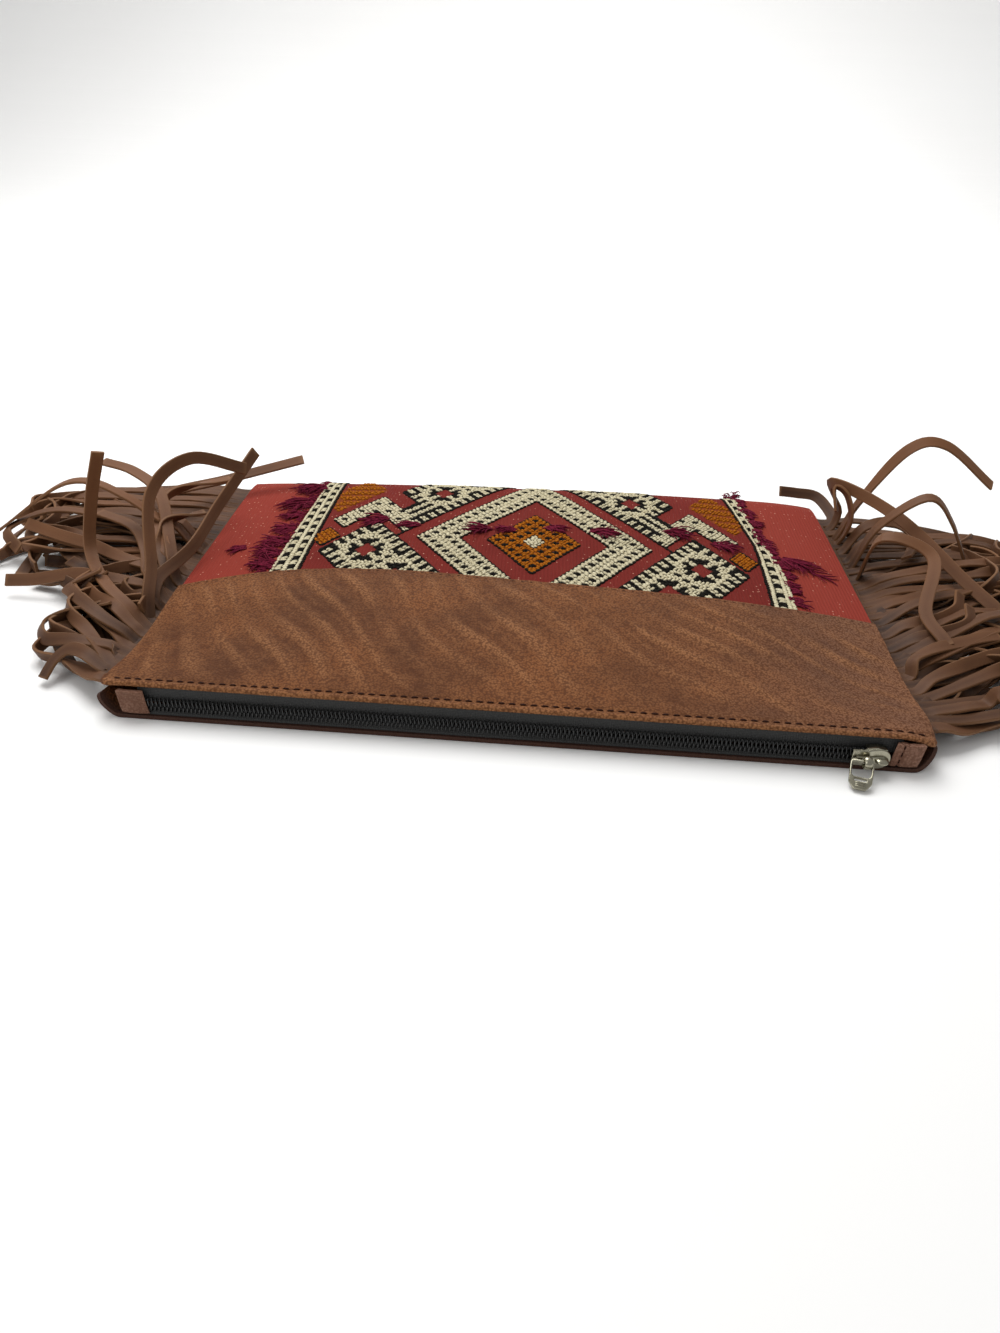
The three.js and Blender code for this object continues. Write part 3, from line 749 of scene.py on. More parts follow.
for yarn, rows in stitches.items():
    x, y, heading, *size = np.array(rows).T
    origins, axes = axes_on(kilim_height, x, y, heading, np.stack(size, axis=1))
    origins[:, 2] += STITCH_LIFT
    dyed_wool = wool("%s_wool" % yarn, *YARN_COLOURS[yarn])
    piece = stitch_piece("kilim_%s_stitches" % yarn, origins, axes, dyed_wool)
    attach(piece, "bag")

# Kilim tufts
# Short ends of plum wool left standing on the face of the weave, in a row across the middle and down both
# borders, each a small brush of strands pressed over by use.
# The plum wool, lit and in painted shade.
TUFT_COLOURS = ("#7A2038", "#480D1E")
TUFTS = (
    # root x, y, tip x, y, strands, half width of the root, standing share
    (-109, 88, -123, 80, 90, 4.4, 0.25),
    (-111, 67, -126, 58, 70, 3.8, 0.25),
    (-112, 49, -124, 46, 50, 3.2, 0.25),
    (-112, 33, -124, 31, 50, 3.4, 0.25),
    (-112, 18, -126, 15, 64, 3.8, 0.25),
    (-112, 4, -126, 4, 64, 3.8, 0.25),
    (-112, -8, -125, -6, 64, 3.8, 0.25),
    (-131, 14, -139, 11, 34, 2.4, 0.15),
    (-68, 41, -82, 35, 44, 2.4, 0.2),
    (-52, 35, -64, 33, 34, 2.2, 0.2),
    (-18, 32, -31, 29, 40, 2.4, 0.3),
    (-6, 33, -17, 30, 34, 2.2, 0.3),
    (8, 39, 19, 35, 34, 2.4, 0.3),
    (30, 38, 44, 33, 44, 2.4, 0.3),
    (66, 46, 80, 38, 44, 2.4, 0.3),
    (88, 37, 101, 31, 40, 2.4, 0.2),
    (121, 31, 136, 19, 46, 2.4, 0.15),
    (132, 22, 141, 13, 7, 0.7, 0.1),
    (105, 106, 108, 112, 30, 3.4, 0.8),
    (106, 106, 113, 112, 6, 1.6, 1.2),
)
# Smaller ones stand close together along the outer edge of each border.
EDGE_TUFTS = 24
EDGE_TUFTS_FROM = -14
EDGE_TUFTS_OVER = 118
EDGE_TUFT_LENGTHS = (4, 9)
EDGE_TUFT_HALF = 2.4
EDGE_TUFT_STANDING = 0.25
EDGE_ROWS = (
    # border, least and greatest heading in degrees, strands
    (LEFT_BORDER, 165, 225, 5),
    (RIGHT_BORDER, -75, -5, 18),
)
STRAND_WIDTH = 0.58
STRAND_TAPER = (1.0, 1.15, 1.1, 0.9, 0.45)
STRAND_LIFT = 0.3
tuft_random = random.Random(11)
tufts = list(TUFTS)
for border, heading_from, heading_to, count in EDGE_ROWS:
    for k in range(EDGE_TUFTS):
        y = EDGE_TUFTS_FROM + EDGE_TUFTS_OVER * k / (EDGE_TUFTS - 1)
        x = float(read_table(border, "outer", y))
        heading = math.radians(tuft_random.uniform(heading_from, heading_to))
        length = tuft_random.uniform(*EDGE_TUFT_LENGTHS)
        tip_x, tip_y = x + length * math.cos(heading), y + length * math.sin(heading)
        tufts.append((x, y, tip_x, tip_y, count, EDGE_TUFT_HALF, EDGE_TUFT_STANDING))


def tube_faces(stations, sides, base):
    """Faces of a closed tube, whose rings of points follow one another from number base on."""
    faces = []
    for k in range(stations - 1):
        for s in range(sides):
            a, b = base + k * sides + s, base + k * sides + (s + 1) % sides
            faces.append((a, b, b + sides, a + sides))
    last = base + (stations - 1) * sides
    faces.append(tuple(base + s for s in reversed(range(sides))))
    faces.append(tuple(last + s for s in range(sides)))
    return faces


def strands(name, paths, widths, sides, material):
    """One piece of many thin round strands, from each one's path and the width at each station."""
    count, stations, _ = paths.shape
    lead = np.gradient(paths, axis=1)
    lead /= np.linalg.norm(lead, axis=2, keepdims=True)
    # No strand runs quite along this direction, so it gives each one a side.
    across = np.cross(lead, [0.13, 0.21, 0.97])
    across /= np.linalg.norm(across, axis=2, keepdims=True)
    over = np.cross(lead, across)
    turn = 2 * np.pi * np.arange(sides) / sides
    around = across[:, :, None] * np.cos(turn)[:, None] + over[:, :, None] * np.sin(turn)[:, None]
    cloud = paths[:, :, None] + around * widths[None, :, None, None] / 2
    faces = [face for n in range(count) for face in tube_faces(stations, sides, n * stations * sides)]
    return mesh_piece(name, cloud.reshape(-1, 3), faces, material)


tuft_paths = []
for root_x, root_y, tip_x, tip_y, count, half_width, standing in tufts:
    heading = math.atan2(tip_y - root_y, tip_x - root_x)
    length = math.hypot(tip_y - root_y, tip_x - root_x)
    for _ in range(count):
        aside = half_width * tuft_random.uniform(-1, 1)
        ahead_by = length * tuft_random.uniform(-0.1, 0.35)
        x = root_x + ahead_by * math.cos(heading) - aside * math.sin(heading)
        y = min(root_y + ahead_by * math.sin(heading) + aside * math.cos(heading), far_y(root_x) - 1)
        angle = heading + math.radians(tuft_random.gauss(0, 17))
        reach = length * tuft_random.uniform(0.35, 0.85)
        lift = reach * standing * tuft_random.uniform(0.2, 1.4)
        curl = tuft_random.uniform(-0.6, 0.6)
        path = []
        for t in np.linspace(0, 1, len(STRAND_TAPER)):
            bend = angle + curl * t
            px = x + reach * t * math.cos(bend)
            py = y + reach * t * math.sin(bend)
            ground = float(kilim_height(px, min(py, far_y(px))))
            path.append((px, py, ground + STRAND_LIFT + 1.4 * lift * t * (1.3 - t)))
        tuft_paths.append(path)
kilim_tufts = strands(
    "kilim_tufts",
    np.array(tuft_paths),
    STRAND_WIDTH * np.array(STRAND_TAPER),
    4,
    wool("plum_wool", *TUFT_COLOURS),
)
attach(kilim_tufts, "bag")

# Front leather
# One piece of the same leather, its near edge folded under over the zip and sewn through. It was stretched on
# the bias when it was sewn, so soft ridges run slantwise over it, paler on their crests.
HEM_REACH = 2.5
HEM_FOLD = 8
HEM_STITCH = 3.4
HEM_DIMPLE = 0.45
SHEET = 0.95
CORNER_ROUND = 5
RIDGE_SPACING = 12.5
RIDGE_HEIGHT = 0.6
RIDGE_SLANT = -54
RIDGE_TURN = 12
RIDGES_FULLER_RIGHT = 0.4
# The hem's ends have rolled down: side, depth, and the distance from the middle where it starts.
DROOPS = ((1, 4.6, 134), (-1, 0.8, 138))
DROOP_REACH = 16
# Shares of the piece's length up to the end of the part under the hem, and up to the end of its nose.
UNDER_SHARE = 0.06
NOSE_SHARE = 0.12


def hem_y(x):
    """The hem's folded edge, rounded off at both ends."""
    past = np.maximum(0, np.abs(x) - HALF_WIDTH + CORNER_ROUND)
    return near_y(x) - HEM_REACH + CORNER_ROUND - np.sqrt(CORNER_ROUND**2 - past**2)


def ridge_wave(x, y):
    """Crests of the slanting ridges, steeper on the left, fuller on the right, fading at the edges."""
    slant = np.radians(RIDGE_SLANT + RIDGE_TURN * np.clip(x / HALF_WIDTH, -1, 1))
    across = -x * np.sin(slant) + y * np.cos(slant)
    wander = 3.4 * np.sin(x / 31 + y / 19) + 2.3 * np.sin(x / 13 - y / 23 + 1.3)
    phase = 2 * np.pi * (across + wander) / RIDGE_SPACING
    broken = 0.55 + 0.45 * np.sin(x / 21 + 0.7 + 2 * np.sin(y / 17)) * np.sin(y / 15 + x / 29)
    crest = (0.5 + 0.5 * np.cos(phase)) ** 3.4
    fine = 0.35 * (0.5 + 0.5 * np.cos(2.3 * phase + 1.1 + np.sin(x / 9))) ** 3
    side_edge = np.clip((HALF_WIDTH - np.abs(x)) / 14, 0.3, 1)
    hem_edge = np.clip((y - hem_y(x) - 4) / 12, 0, 1)
    kilim_edge = np.clip((seam_y(x) - y) / 10, 0.3, 1)
    fuller_right = 1 + RIDGES_FULLER_RIGHT * np.clip(x / HALF_WIDTH, 0, 1)
    return (crest + fine) * broken * side_edge * hem_edge * fuller_right * kilim_edge


def hem_droop(x):
    """How far the hem has rolled down, most of all at the closed end of the zip."""
    return sum(
        depth * np.clip((side * x - start) / (HALF_WIDTH - start), 0, 1) ** 2
        for side, depth, start in DROOPS
    )


def leather_height(x, y):
    """Outer height of the leather, with its ridges and the dimple that the hem's stitches pull in."""
    from_hem = y - hem_y(x)
    stitched = HEM_DIMPLE * np.exp(-(((from_hem - HEM_STITCH) / 0.9) ** 2))
    drooped = hem_droop(x) * np.clip(1 - from_hem / DROOP_REACH, 0, 1) ** 2
    plain = front_height(x, np.maximum(y, near_y(x))) - drooped
    return plain + RIDGE_HEIGHT * ridge_wave(x, y) - stitched


def front_shape(u, v):
    """From the end of the fold under the hem, round its nose, and over the front to the edge on the kilim."""
    x = HALF_WIDTH * (2 * u - 1)
    start = hem_y(x) + SHEET
    under = np.clip(v / UNDER_SHARE, 0, 1)
    turn = np.pi * np.clip((v - UNDER_SHARE) / (NOSE_SHARE - UNDER_SHARE), 0, 1)
    over = np.clip((v - NOSE_SHARE) / (1 - NOSE_SHARE), 0, 1)
    y_under = start + HEM_FOLD * (1 - under)
    y_nose = start - SHEET * np.sin(turn)
    y_over = start + (seam_y(x) - start) * over
    z_under = leather_height(x, y_under) - 2 * SHEET
    z_nose = leather_height(x, start) - SHEET - SHEET * np.cos(turn)
    z_over = leather_height(x, y_over)
    parts = [v < UNDER_SHARE, v < NOSE_SHARE]
    y = np.select(parts, [y_under, y_nose], y_over)
    z = np.select(parts, [z_under, z_nose], z_over)
    return x + corner_flare(x, y), y, z


def front_marks(v, points):
    """Pale on the ridges, on the edges partly from rubbing and partly as painted highlight, and greyer to the
    right.
    """
    x, y = points[:, 0], points[:, 1]
    # The hem's edge is paler partly from wear and partly as painted highlight, since its nose faces away from
    # the lamps.
    edge_wear_and_light = np.exp(-np.maximum(0, y - hem_y(x)) / 2.6) + 0.4 * np.exp(-(HALF_WIDTH - np.abs(x)) / 4)
    greyer = np.clip(x / HALF_WIDTH - 0.1, 0, 1) ** 2
    return {"stretch": np.clip(ridge_wave(x, y) + edge_wear_and_light, 0, 1), "greyer": greyer}


leather_front = panel("leather_front", 280, 120, front_shape, SHEET, front_marks)
leather_front.data.materials.append(brown_leather)
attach(leather_front, "bag")
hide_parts("front_leather_panel")

# Seam thread
# Waxed dark brown thread in two rows of machine stitches: one through the hem along the zip, and one along
# the leather's edge where it is sewn to the kilim.
STITCH_PITCH = 3.9
SEAM_END = 3
KILIM_STITCH = 1.6
THREAD_TWIST = 0.6
SEAM_ROWS = (
    # name, y of the row, length and width of a stitch, height over the leather
    ("hem_thread", lambda x: hem_y(x) + HEM_STITCH, 2.8, 0.95, 0.14),
    ("kilim_thread", lambda x: seam_y(x) - KILIM_STITCH, 1.7, 0.42, -0.06),
)

# Waxed thread: a dull brown near to black, with the faint stripes of its twist.
thread, tree, shader, place = new_material("waxed_brown_thread")
stripes = {"Vector": place, "Scale": WAVE_REPEAT / (THREAD_TWIST * MM)}
stripe = add_node(tree, "ShaderNodeTexWave", stripes, bands_direction="DIAGONAL").outputs["Fac"]
twisted = add_node(tree, "ShaderNodeMix", {0: stripe, 6: "#1F0E08", 7: "#36190D"}, data_type="RGBA")
set_inputs(shader, {"Base Color": twisted, "Roughness": 0.7, "Specular IOR Level": 0.1})

for name, row_y, length, width, proud in SEAM_ROWS:
    count = int((2 * HALF_WIDTH - 2 * SEAM_END) / STITCH_PITCH)
    x = -HALF_WIDTH + SEAM_END + STITCH_PITCH * (np.arange(count) + 0.5)
    heading = np.arctan(row_y(x + 0.5) - row_y(x - 0.5))
    size = np.tile([length, width, width], (count, 1))
    origins, axes = axes_on(leather_height, x, row_y(x), heading, size)
    origins[:, 2] += proud
    piece = stitch_piece(name, origins, axes, thread)
    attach(piece, "bag")

# Zip tapes
# Two strips of black woven polyester tape that stand behind the coils, the upper one sewn to the hem and the
# lower one to the back's lip.
ZIP_HEIGHT = 6.1
ZIP_FACE = -109.4
TAPE_HALF_LENGTH = 137
TAPE_THICKNESS = 0.8
TAPE_RIB = 0.7
TAPE_PICK = 0.9
TAPE_WAVE = 0.1


def ribbed_tape():
    """Ribbed polyester tape: charcoal black, its ribs painted paler as a soft shine."""
    material, tree, shader, place = new_material("black_zip_tape")
    ribs = {"Vector": place, "Scale": WAVE_REPEAT / (TAPE_RIB * MM), "Distortion": 0.6, "Detail": 2}
    rib = add_node(tree, "ShaderNodeTexWave", ribs, bands_direction="Z").outputs["Fac"]
    picks = {"Vector": place, "Scale": WAVE_REPEAT / (TAPE_PICK * MM), "Distortion": 0.4}
    pick = add_node(tree, "ShaderNodeTexWave", picks, bands_direction="X").outputs["Fac"]
    weave = add_node(tree, "ShaderNodeMath", {0: rib, 1: pick}, operation="ADD")
    shade = add_node(tree, "ShaderNodeMix", {0: rib, 6: "#151515", 7: "#232322"}, data_type="RGBA")
    bump = add_node(tree, "ShaderNodeBump", {"Height": weave, "Strength": 0.5, "Distance": 0.15 * MM})
    set_inputs(shader, {"Base Color": shade, "Normal": bump, "Roughness": 0.62})
    return material


def along_zip_edge(x, y, z):
    """Turns points of the zip, which is built along X, to run along the skewed zip edge."""
    turn = -math.atan(NEAR_SKEW / HALF_WIDTH)
    out = y - ZIP_FACE
    return x * math.cos(turn) - out * math.sin(turn), ZIP_FACE + x * math.sin(turn) + out * math.cos(turn), z


def tape_shape(inner, outer, lean):
    """A strip that stands behind the coil, from its inner to its outer edge, where it leans over."""

    def shape(u, v):
        x = TAPE_HALF_LENGTH * (2 * u - 1)
        share = v if outer > 0 else 1 - v
        z = ZIP_HEIGHT + inner + (outer - inner) * share
        y = ZIP_FACE + lean * share**2 + TAPE_WAVE * np.sin(x / 17) * share
        return along_zip_edge(x, y, z)

    return shape


black_tape = ribbed_tape()
for name, inner, outer, lean, node in (
    ("tape_upper", 0.7, 6.3, 0.4, "zip_tape_upper"),
    ("tape_lower", -0.7, -4.2, -1.2, "zip_tape_lower"),
):
    tape = panel(name, 120, 8, tape_shape(inner, outer, lean), TAPE_THICKNESS)
    tape.data.materials.append(black_tape)
    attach(tape, "bag")
    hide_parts(node)

# Zip coils
# Each is one thick nylon filament wound into flat loops and sewn along its tape, the upper loops set half a
# step from the lower ones.
COIL_PITCH = 1.5
COIL_WIRE = 0.56
COIL_HALF_LENGTH = 133.8
COIL_END = 0.7
COIL_LOOP = (
    # step along the zip, distance in front of the tape, distance from the zip's middle
    (0.00, 0.62, 2.50),
    (0.02, 1.30, 2.56),
    (0.06, 1.74, 2.20),
    (0.12, 1.84, 1.30),
    (0.17, 1.88, 0.30),
    (0.22, 1.66, -0.42),
    (0.30, 1.14, -0.46),
    (0.38, 0.70, 0.20),
    (0.62, 0.60, 1.30),
    (1.00, 0.62, 2.50),
)

# Nylon: black and glossy, a little dusty.
nylon, tree, shader, place = new_material("black_nylon_coil")
dust = add_node(tree, "ShaderNodeTexNoise", {"Vector": place, "Scale": 1 / (4 * MM), "Detail": 3})
dusty = add_node(tree, "ShaderNodeMix", {0: dust, 6: "#09090A", 7: "#161616"}, data_type="RGBA")
set_inputs(shader, {"Base Color": dusty, "Roughness": 0.3, "Specular IOR Level": 0.6})
loop = np.array(COIL_LOOP)
for name, side, node in (("coil_upper", 1, "zip_coil_upper"), ("coil_lower", -1, "zip_coil_lower")):
    starts = np.arange(-COIL_HALF_LENGTH + COIL_END, COIL_HALF_LENGTH - 1.3 * COIL_PITCH, COIL_PITCH)
    x = starts[:, None] + COIL_PITCH * (loop[:, 0] + (0.5 if side < 0 else 0))
    y = np.broadcast_to(ZIP_FACE - loop[:, 1], x.shape)
    z = np.broadcast_to(ZIP_HEIGHT + side * loop[:, 2], x.shape)
    coil = strands(name, np.stack(along_zip_edge(x, y, z), axis=2), np.full(len(loop), COIL_WIRE), 6, nylon)
    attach(coil, "bag")
    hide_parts(node)

# Zip end tabs
# A short strip of the leather sewn over each end of the zip, between the hem and the lip. The right one has a
# crease where it is folded under, with three stitches in it.
TAB_FROM = 134.2
TAB_TO = 144.4
TAB_THICKNESS = 1.8
TAB_LOW = 2.4
TAB_HIGH = 11.8
TAB_LEAN = 0.12
TAB_BOW = 0.6
TAB_TUCK = 0.5
TAB_TUCK_BELOW = 0.35
TAB_CREASE_AT = 0.3
TAB_CREASE_WIDTH = 0.05
TAB_CREASE_DEPTH = 0.75
TAB_STITCH = (2.0, 0.8, 0.8)
TAB_STITCHES_AT = (0.22, 0.54, 0.86)


def tab_shape(side, crease):
    """A bowed strip over the zip's left end, side -1, or right end, side 1, with a crease of that depth."""

    def shape(u, v):
        z = TAB_LOW + (TAB_HIGH - TAB_LOW) * v
        middle = side * (TAB_FROM + TAB_TO) / 2
        x = middle + (TAB_TO - TAB_FROM) * (u - 0.5) + side * TAB_LEAN * (z - TAB_HIGH)
        bow = TAB_BOW * np.sin(np.pi * u) ** 0.6
        fold = crease * np.exp(-(((u - TAB_CREASE_AT) / TAB_CREASE_WIDTH) ** 2))
        tuck = TAB_TUCK * np.maximum(0, TAB_TUCK_BELOW - v) ** 2 / TAB_TUCK_BELOW**2
        return along_zip_edge(x, ZIP_FACE - GAP - TAB_THICKNESS - bow + fold + tuck, z)

    return shape


tab_leather = soft_leather("tab_leather", "#876453", "#A5826E", "#624233")
for name, side, crease in (("tab_left", -1, 0.0), ("tab_right", 1, TAB_CREASE_DEPTH)):
    tab = panel(name, 36, 18, tab_shape(side, crease), TAB_THICKNESS)
    tab.data.materials.append(tab_leather)
    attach(tab, "bag")
    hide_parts("zip_" + name)
stitch_count = len(TAB_STITCHES_AT)
crease_line = np.full(stitch_count, TAB_CREASE_AT)
stitch_places = np.stack(tab_shape(1, TAB_CREASE_DEPTH)(crease_line, np.array(TAB_STITCHES_AT)), axis=1)
# Each stitch stands upright, its length along Z.
stitch_axes = np.tile(np.diag(TAB_STITCH)[:, [2, 1, 0]], (stitch_count, 1, 1))
tab_thread = stitch_piece("tab_thread", stitch_places, stitch_axes, thread)
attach(tab_thread, "bag")

# Zip slider
# Cast zinc with a satin nickel plating: two plates joined by a neck that parts the coils, side walls that
# close round them, and on the front a rib with a round bail, and a loop at its left for the pull's ring.
SLIDER_AT = 126
SLIDER_HALF_LENGTH = 6.75
SLIDER_NARROW = 3.7
SLIDER_WIDE = 4.2
SLIDER_PLATE = 1.3
SLIDER_FRONT = ZIP_FACE - 1.9 - 2 * GAP - SLIDER_PLATE
SLIDER_BACK = ZIP_FACE + TAPE_THICKNESS + GAP + SLIDER_PLATE
COIL_ROOM = 2.9 + GAP
PULL_AT = -3.4
PULL_STANDOFF = 2.2
PULL_YAW = math.radians(-14)
EYE_AT = -1.9
EYE_RADIUS = 1.9
EYE_WIRE = 0.6
EYE_STRETCH = 2.3
BAIL_AT = 3.4
BAIL = (2.5, 3.5, 1.15)
BAIL_BLUNTNESS = 0.6
# Outlines along the zip and up from its middle. The wall's is for the upper side.
WALL = ((-2, COIL_ROOM), (5, COIL_ROOM), (5, 3.75), (1.5, 4.3), (-2, 3.6))
NECK = ((1.5, -0.2), (5, -0.2), (5, 0.2), (1.5, 0.2))
RIB = (
    (-1.7, -0.9),
    (3.6, -1.5),
    (5.2, -0.9),
    (5.7, 0),
    (5.2, 0.9),
    (3.6, 1.5),
    (-1.7, 0.9),
    (-5.4, 1.1),
    (-5.4, -1.1),
)


def cut_plate(name, outline, holes, low, high, bevel):
    """A flat plate with rounded edges, from an outline with holes in X and Z, between two depths in Y."""
    bpy.ops.object.select_all(action="DESELECT")
    curve = bpy.data.curves.new(name, "CURVE")
    curve.dimensions = "2D"
    curve.fill_mode = "BOTH"
    for corners in (outline, *holes):
        spline = curve.splines.new("POLY")
        spline.points.add(len(corners) - 1)
        for point, (x, z) in zip(spline.points, corners):
            point.co = (x, z, 0, 1)
        spline.use_cyclic_u = True
    curve.extrude = (high - low) / 2 - bevel
    curve.bevel_depth = bevel
    curve.bevel_resolution = 2
    curve.offset = -bevel
    plate = bpy.data.objects.new(name, curve)
    bpy.context.scene.collection.objects.link(plate)
    plate.select_set(True)
    bpy.context.view_layer.objects.active = plate
    bpy.ops.object.convert(target="MESH")
    for vertex in plate.data.vertices:
        x, z, depth = vertex.co
        vertex.co = (x, (low + high) / 2 - depth, z)
    return plate


def join(name, pieces, material):
    """Several meshes as one smooth piece with one material."""
    bpy.ops.object.select_all(action="DESELECT")
    for piece in pieces:
        piece.select_set(True)
    bpy.context.view_layer.objects.active = pieces[0]
    bpy.ops.object.join()
    joined = bpy.context.object
    joined.name = name
    joined.data.materials.clear()
    joined.data.materials.append(material)
    bpy.ops.object.mode_set(mode="EDIT")
    bpy.ops.mesh.select_all(action="SELECT")
    bpy.ops.mesh.remove_doubles(threshold=1e-6)
    bpy.ops.mesh.normals_make_consistent(inside=False)
    bpy.ops.object.mode_set(mode="OBJECT")
    bpy.ops.object.shade_smooth_by_angle(angle=math.radians(40))
    return joined


def set_on_zip(piece, turn, shift):
    """Turns a piece's mesh about the origin, sets it on the zip, and takes it from millimetres to metres."""
    piece.data.transform(Matrix.Translation(shift) @ turn)
    for vertex in piece.data.vertices:
        vertex.co = MM * Vector(along_zip_edge(*vertex.co))
    return piece


def slider_outline():
    """Squared at the narrow end on the left, round at the wide end on the right."""
    middle = SLIDER_HALF_LENGTH - SLIDER_WIDE
    bow = [math.radians(angle) for angle in range(-90, 91, 10)]
    right = [(middle + SLIDER_WIDE * math.cos(a), SLIDER_WIDE * math.sin(a)) for a in bow]
    left = [(-1.2, SLIDER_NARROW - 0.3), (-SLIDER_HALF_LENGTH, SLIDER_NARROW - 0.5)]
    return [*right, *left, *[(x, -z) for x, z in reversed(left)]]


SLIDER_PLATES = (
    # name, outline, front and back of it, rounding of its edges
    ("front_plate", slider_outline(), SLIDER_FRONT, SLIDER_FRONT + SLIDER_PLATE, 0.5),
    ("back_plate", slider_outline(), SLIDER_BACK - SLIDER_PLATE, SLIDER_BACK, 0.4),
    ("lower_wall", [(x, -z) for x, z in WALL], SLIDER_FRONT + 0.6, ZIP_FACE - GAP, 0.1),
    ("upper_wall", WALL, SLIDER_FRONT + 0.6, ZIP_FACE - GAP, 0.1),
    ("neck", NECK, SLIDER_FRONT + 0.65, SLIDER_BACK - 0.65, 0.05),
    ("rib", RIB, SLIDER_FRONT - 0.75, SLIDER_FRONT + 0.5, 0.45),
)
plates = [
    cut_plate(name, outline, [], front, back, rounding)
    for name, outline, front, back, rounding in SLIDER_PLATES
]
bpy.ops.object.select_all(action="DESELECT")
bpy.ops.mesh.primitive_torus_add(
    major_radius=EYE_RADIUS,
    minor_radius=EYE_WIRE,
    major_segments=36,
    minor_segments=14,
    rotation=(0, math.pi / 2, 0),
)
bpy.ops.object.transform_apply(location=True, rotation=True)
eye = bpy.context.object
for vertex in eye.data.vertices:
    vertex.co.x = EYE_STRETCH * vertex.co.x + EYE_AT
    vertex.co.y += SLIDER_FRONT - PULL_STANDOFF + (EYE_AT - PULL_AT) * math.tan(PULL_YAW)
plates.append(eye)
bpy.ops.object.select_all(action="DESELECT")
bpy.ops.mesh.primitive_uv_sphere_add(segments=32, ring_count=20, radius=1)
bail = bpy.context.object
for vertex in bail.data.vertices:
    across, out, up = vertex.co
    blunt = math.copysign(abs(across) ** BAIL_BLUNTNESS, across)
    vertex.co = (BAIL_AT + BAIL[0] * blunt, SLIDER_FRONT + 0.3 + BAIL[1] * out, BAIL[2] * up)
plates.append(bail)

# Satin nickel plate: a warm pale grey, brushed soft, dulled in small patches by handling.
nickel, tree, shader, place = new_material("satin_nickel_plate")
smear = add_node(tree, "ShaderNodeTexNoise", {"Vector": place, "Scale": 1 / (2.5 * MM), "Detail": 4})
tint = add_node(tree, "ShaderNodeMix", {0: smear, 6: "#8C8876", 7: "#AEAA98"}, data_type="RGBA")
dull = add_node(tree, "ShaderNodeMapRange", {"Value": smear, "To Min": 0.2, "To Max": 0.3})
set_inputs(shader, {"Base Color": tint, "Roughness": dull, "Metallic": 1})
slider_body = set_on_zip(join("slider_body", plates, nickel), Matrix.Identity(4), (SLIDER_AT, 0, ZIP_HEIGHT))
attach(slider_body, "slider")
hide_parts("zip_slider")

# Zip pull
# The same plated metal, stamped: a ring with a wide window that hangs in the slider's loop, then a bar, a
# slot and a short ridged end that rests on the table.
PULL_THICKNESS = 1.3
PULL_DROOP = math.radians(28)
# Right halves of the outlines, from the hinge down.
PULL_EDGE = (
    (2.4, 0.7),
    (3.2, 0.55),
    (3.8, 0.1),
    (4.1, -0.8),
    (4.0, -5.0),
    (3.9, -8.2),
    (2.3, -10.5),
    (1.8, -10.8),
)
PULL_WINDOW = ((2.5, -0.7), (3.1, -1.0), (3.3, -1.8), (3.3, -4.6), (3.1, -5.5), (2.4, -6.1))
PULL_SLOT = ((2.1, -6.8), (2.0, -7.7))
PULL_RIDGES = (-8.4, -9.1, -9.8)
RIDGE_HALF = (1.7, 0.22)


def mirrored(half):
    """A whole outline from its right half."""
    return [*half, *[(-x, z) for x, z in reversed(half)]]


half = PULL_THICKNESS / 2
openings = [mirrored(PULL_WINDOW), mirrored(PULL_SLOT)]
stamped = [cut_plate("pull_plate", mirrored(PULL_EDGE), openings, -half, half, 0.3)]
for z in PULL_RIDGES:
    side, rise = RIDGE_HALF
    bar = [(-side, z - rise), (side, z - rise), (side, z + rise), (-side, z + rise)]
    stamped.append(cut_plate("ridge", bar, [], -half - 0.3, 0, 0.2))
hang = Matrix.Rotation(PULL_YAW, 4, "Z") @ Matrix.Rotation(PULL_DROOP - math.pi / 2, 4, "X")
pivot = (SLIDER_AT + PULL_AT, SLIDER_FRONT - PULL_STANDOFF, ZIP_HEIGHT)
pull_ring = set_on_zip(join("pull_ring", stamped, nickel), hang, pivot)
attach(pull_ring, "pull")
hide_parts("zip_pull")
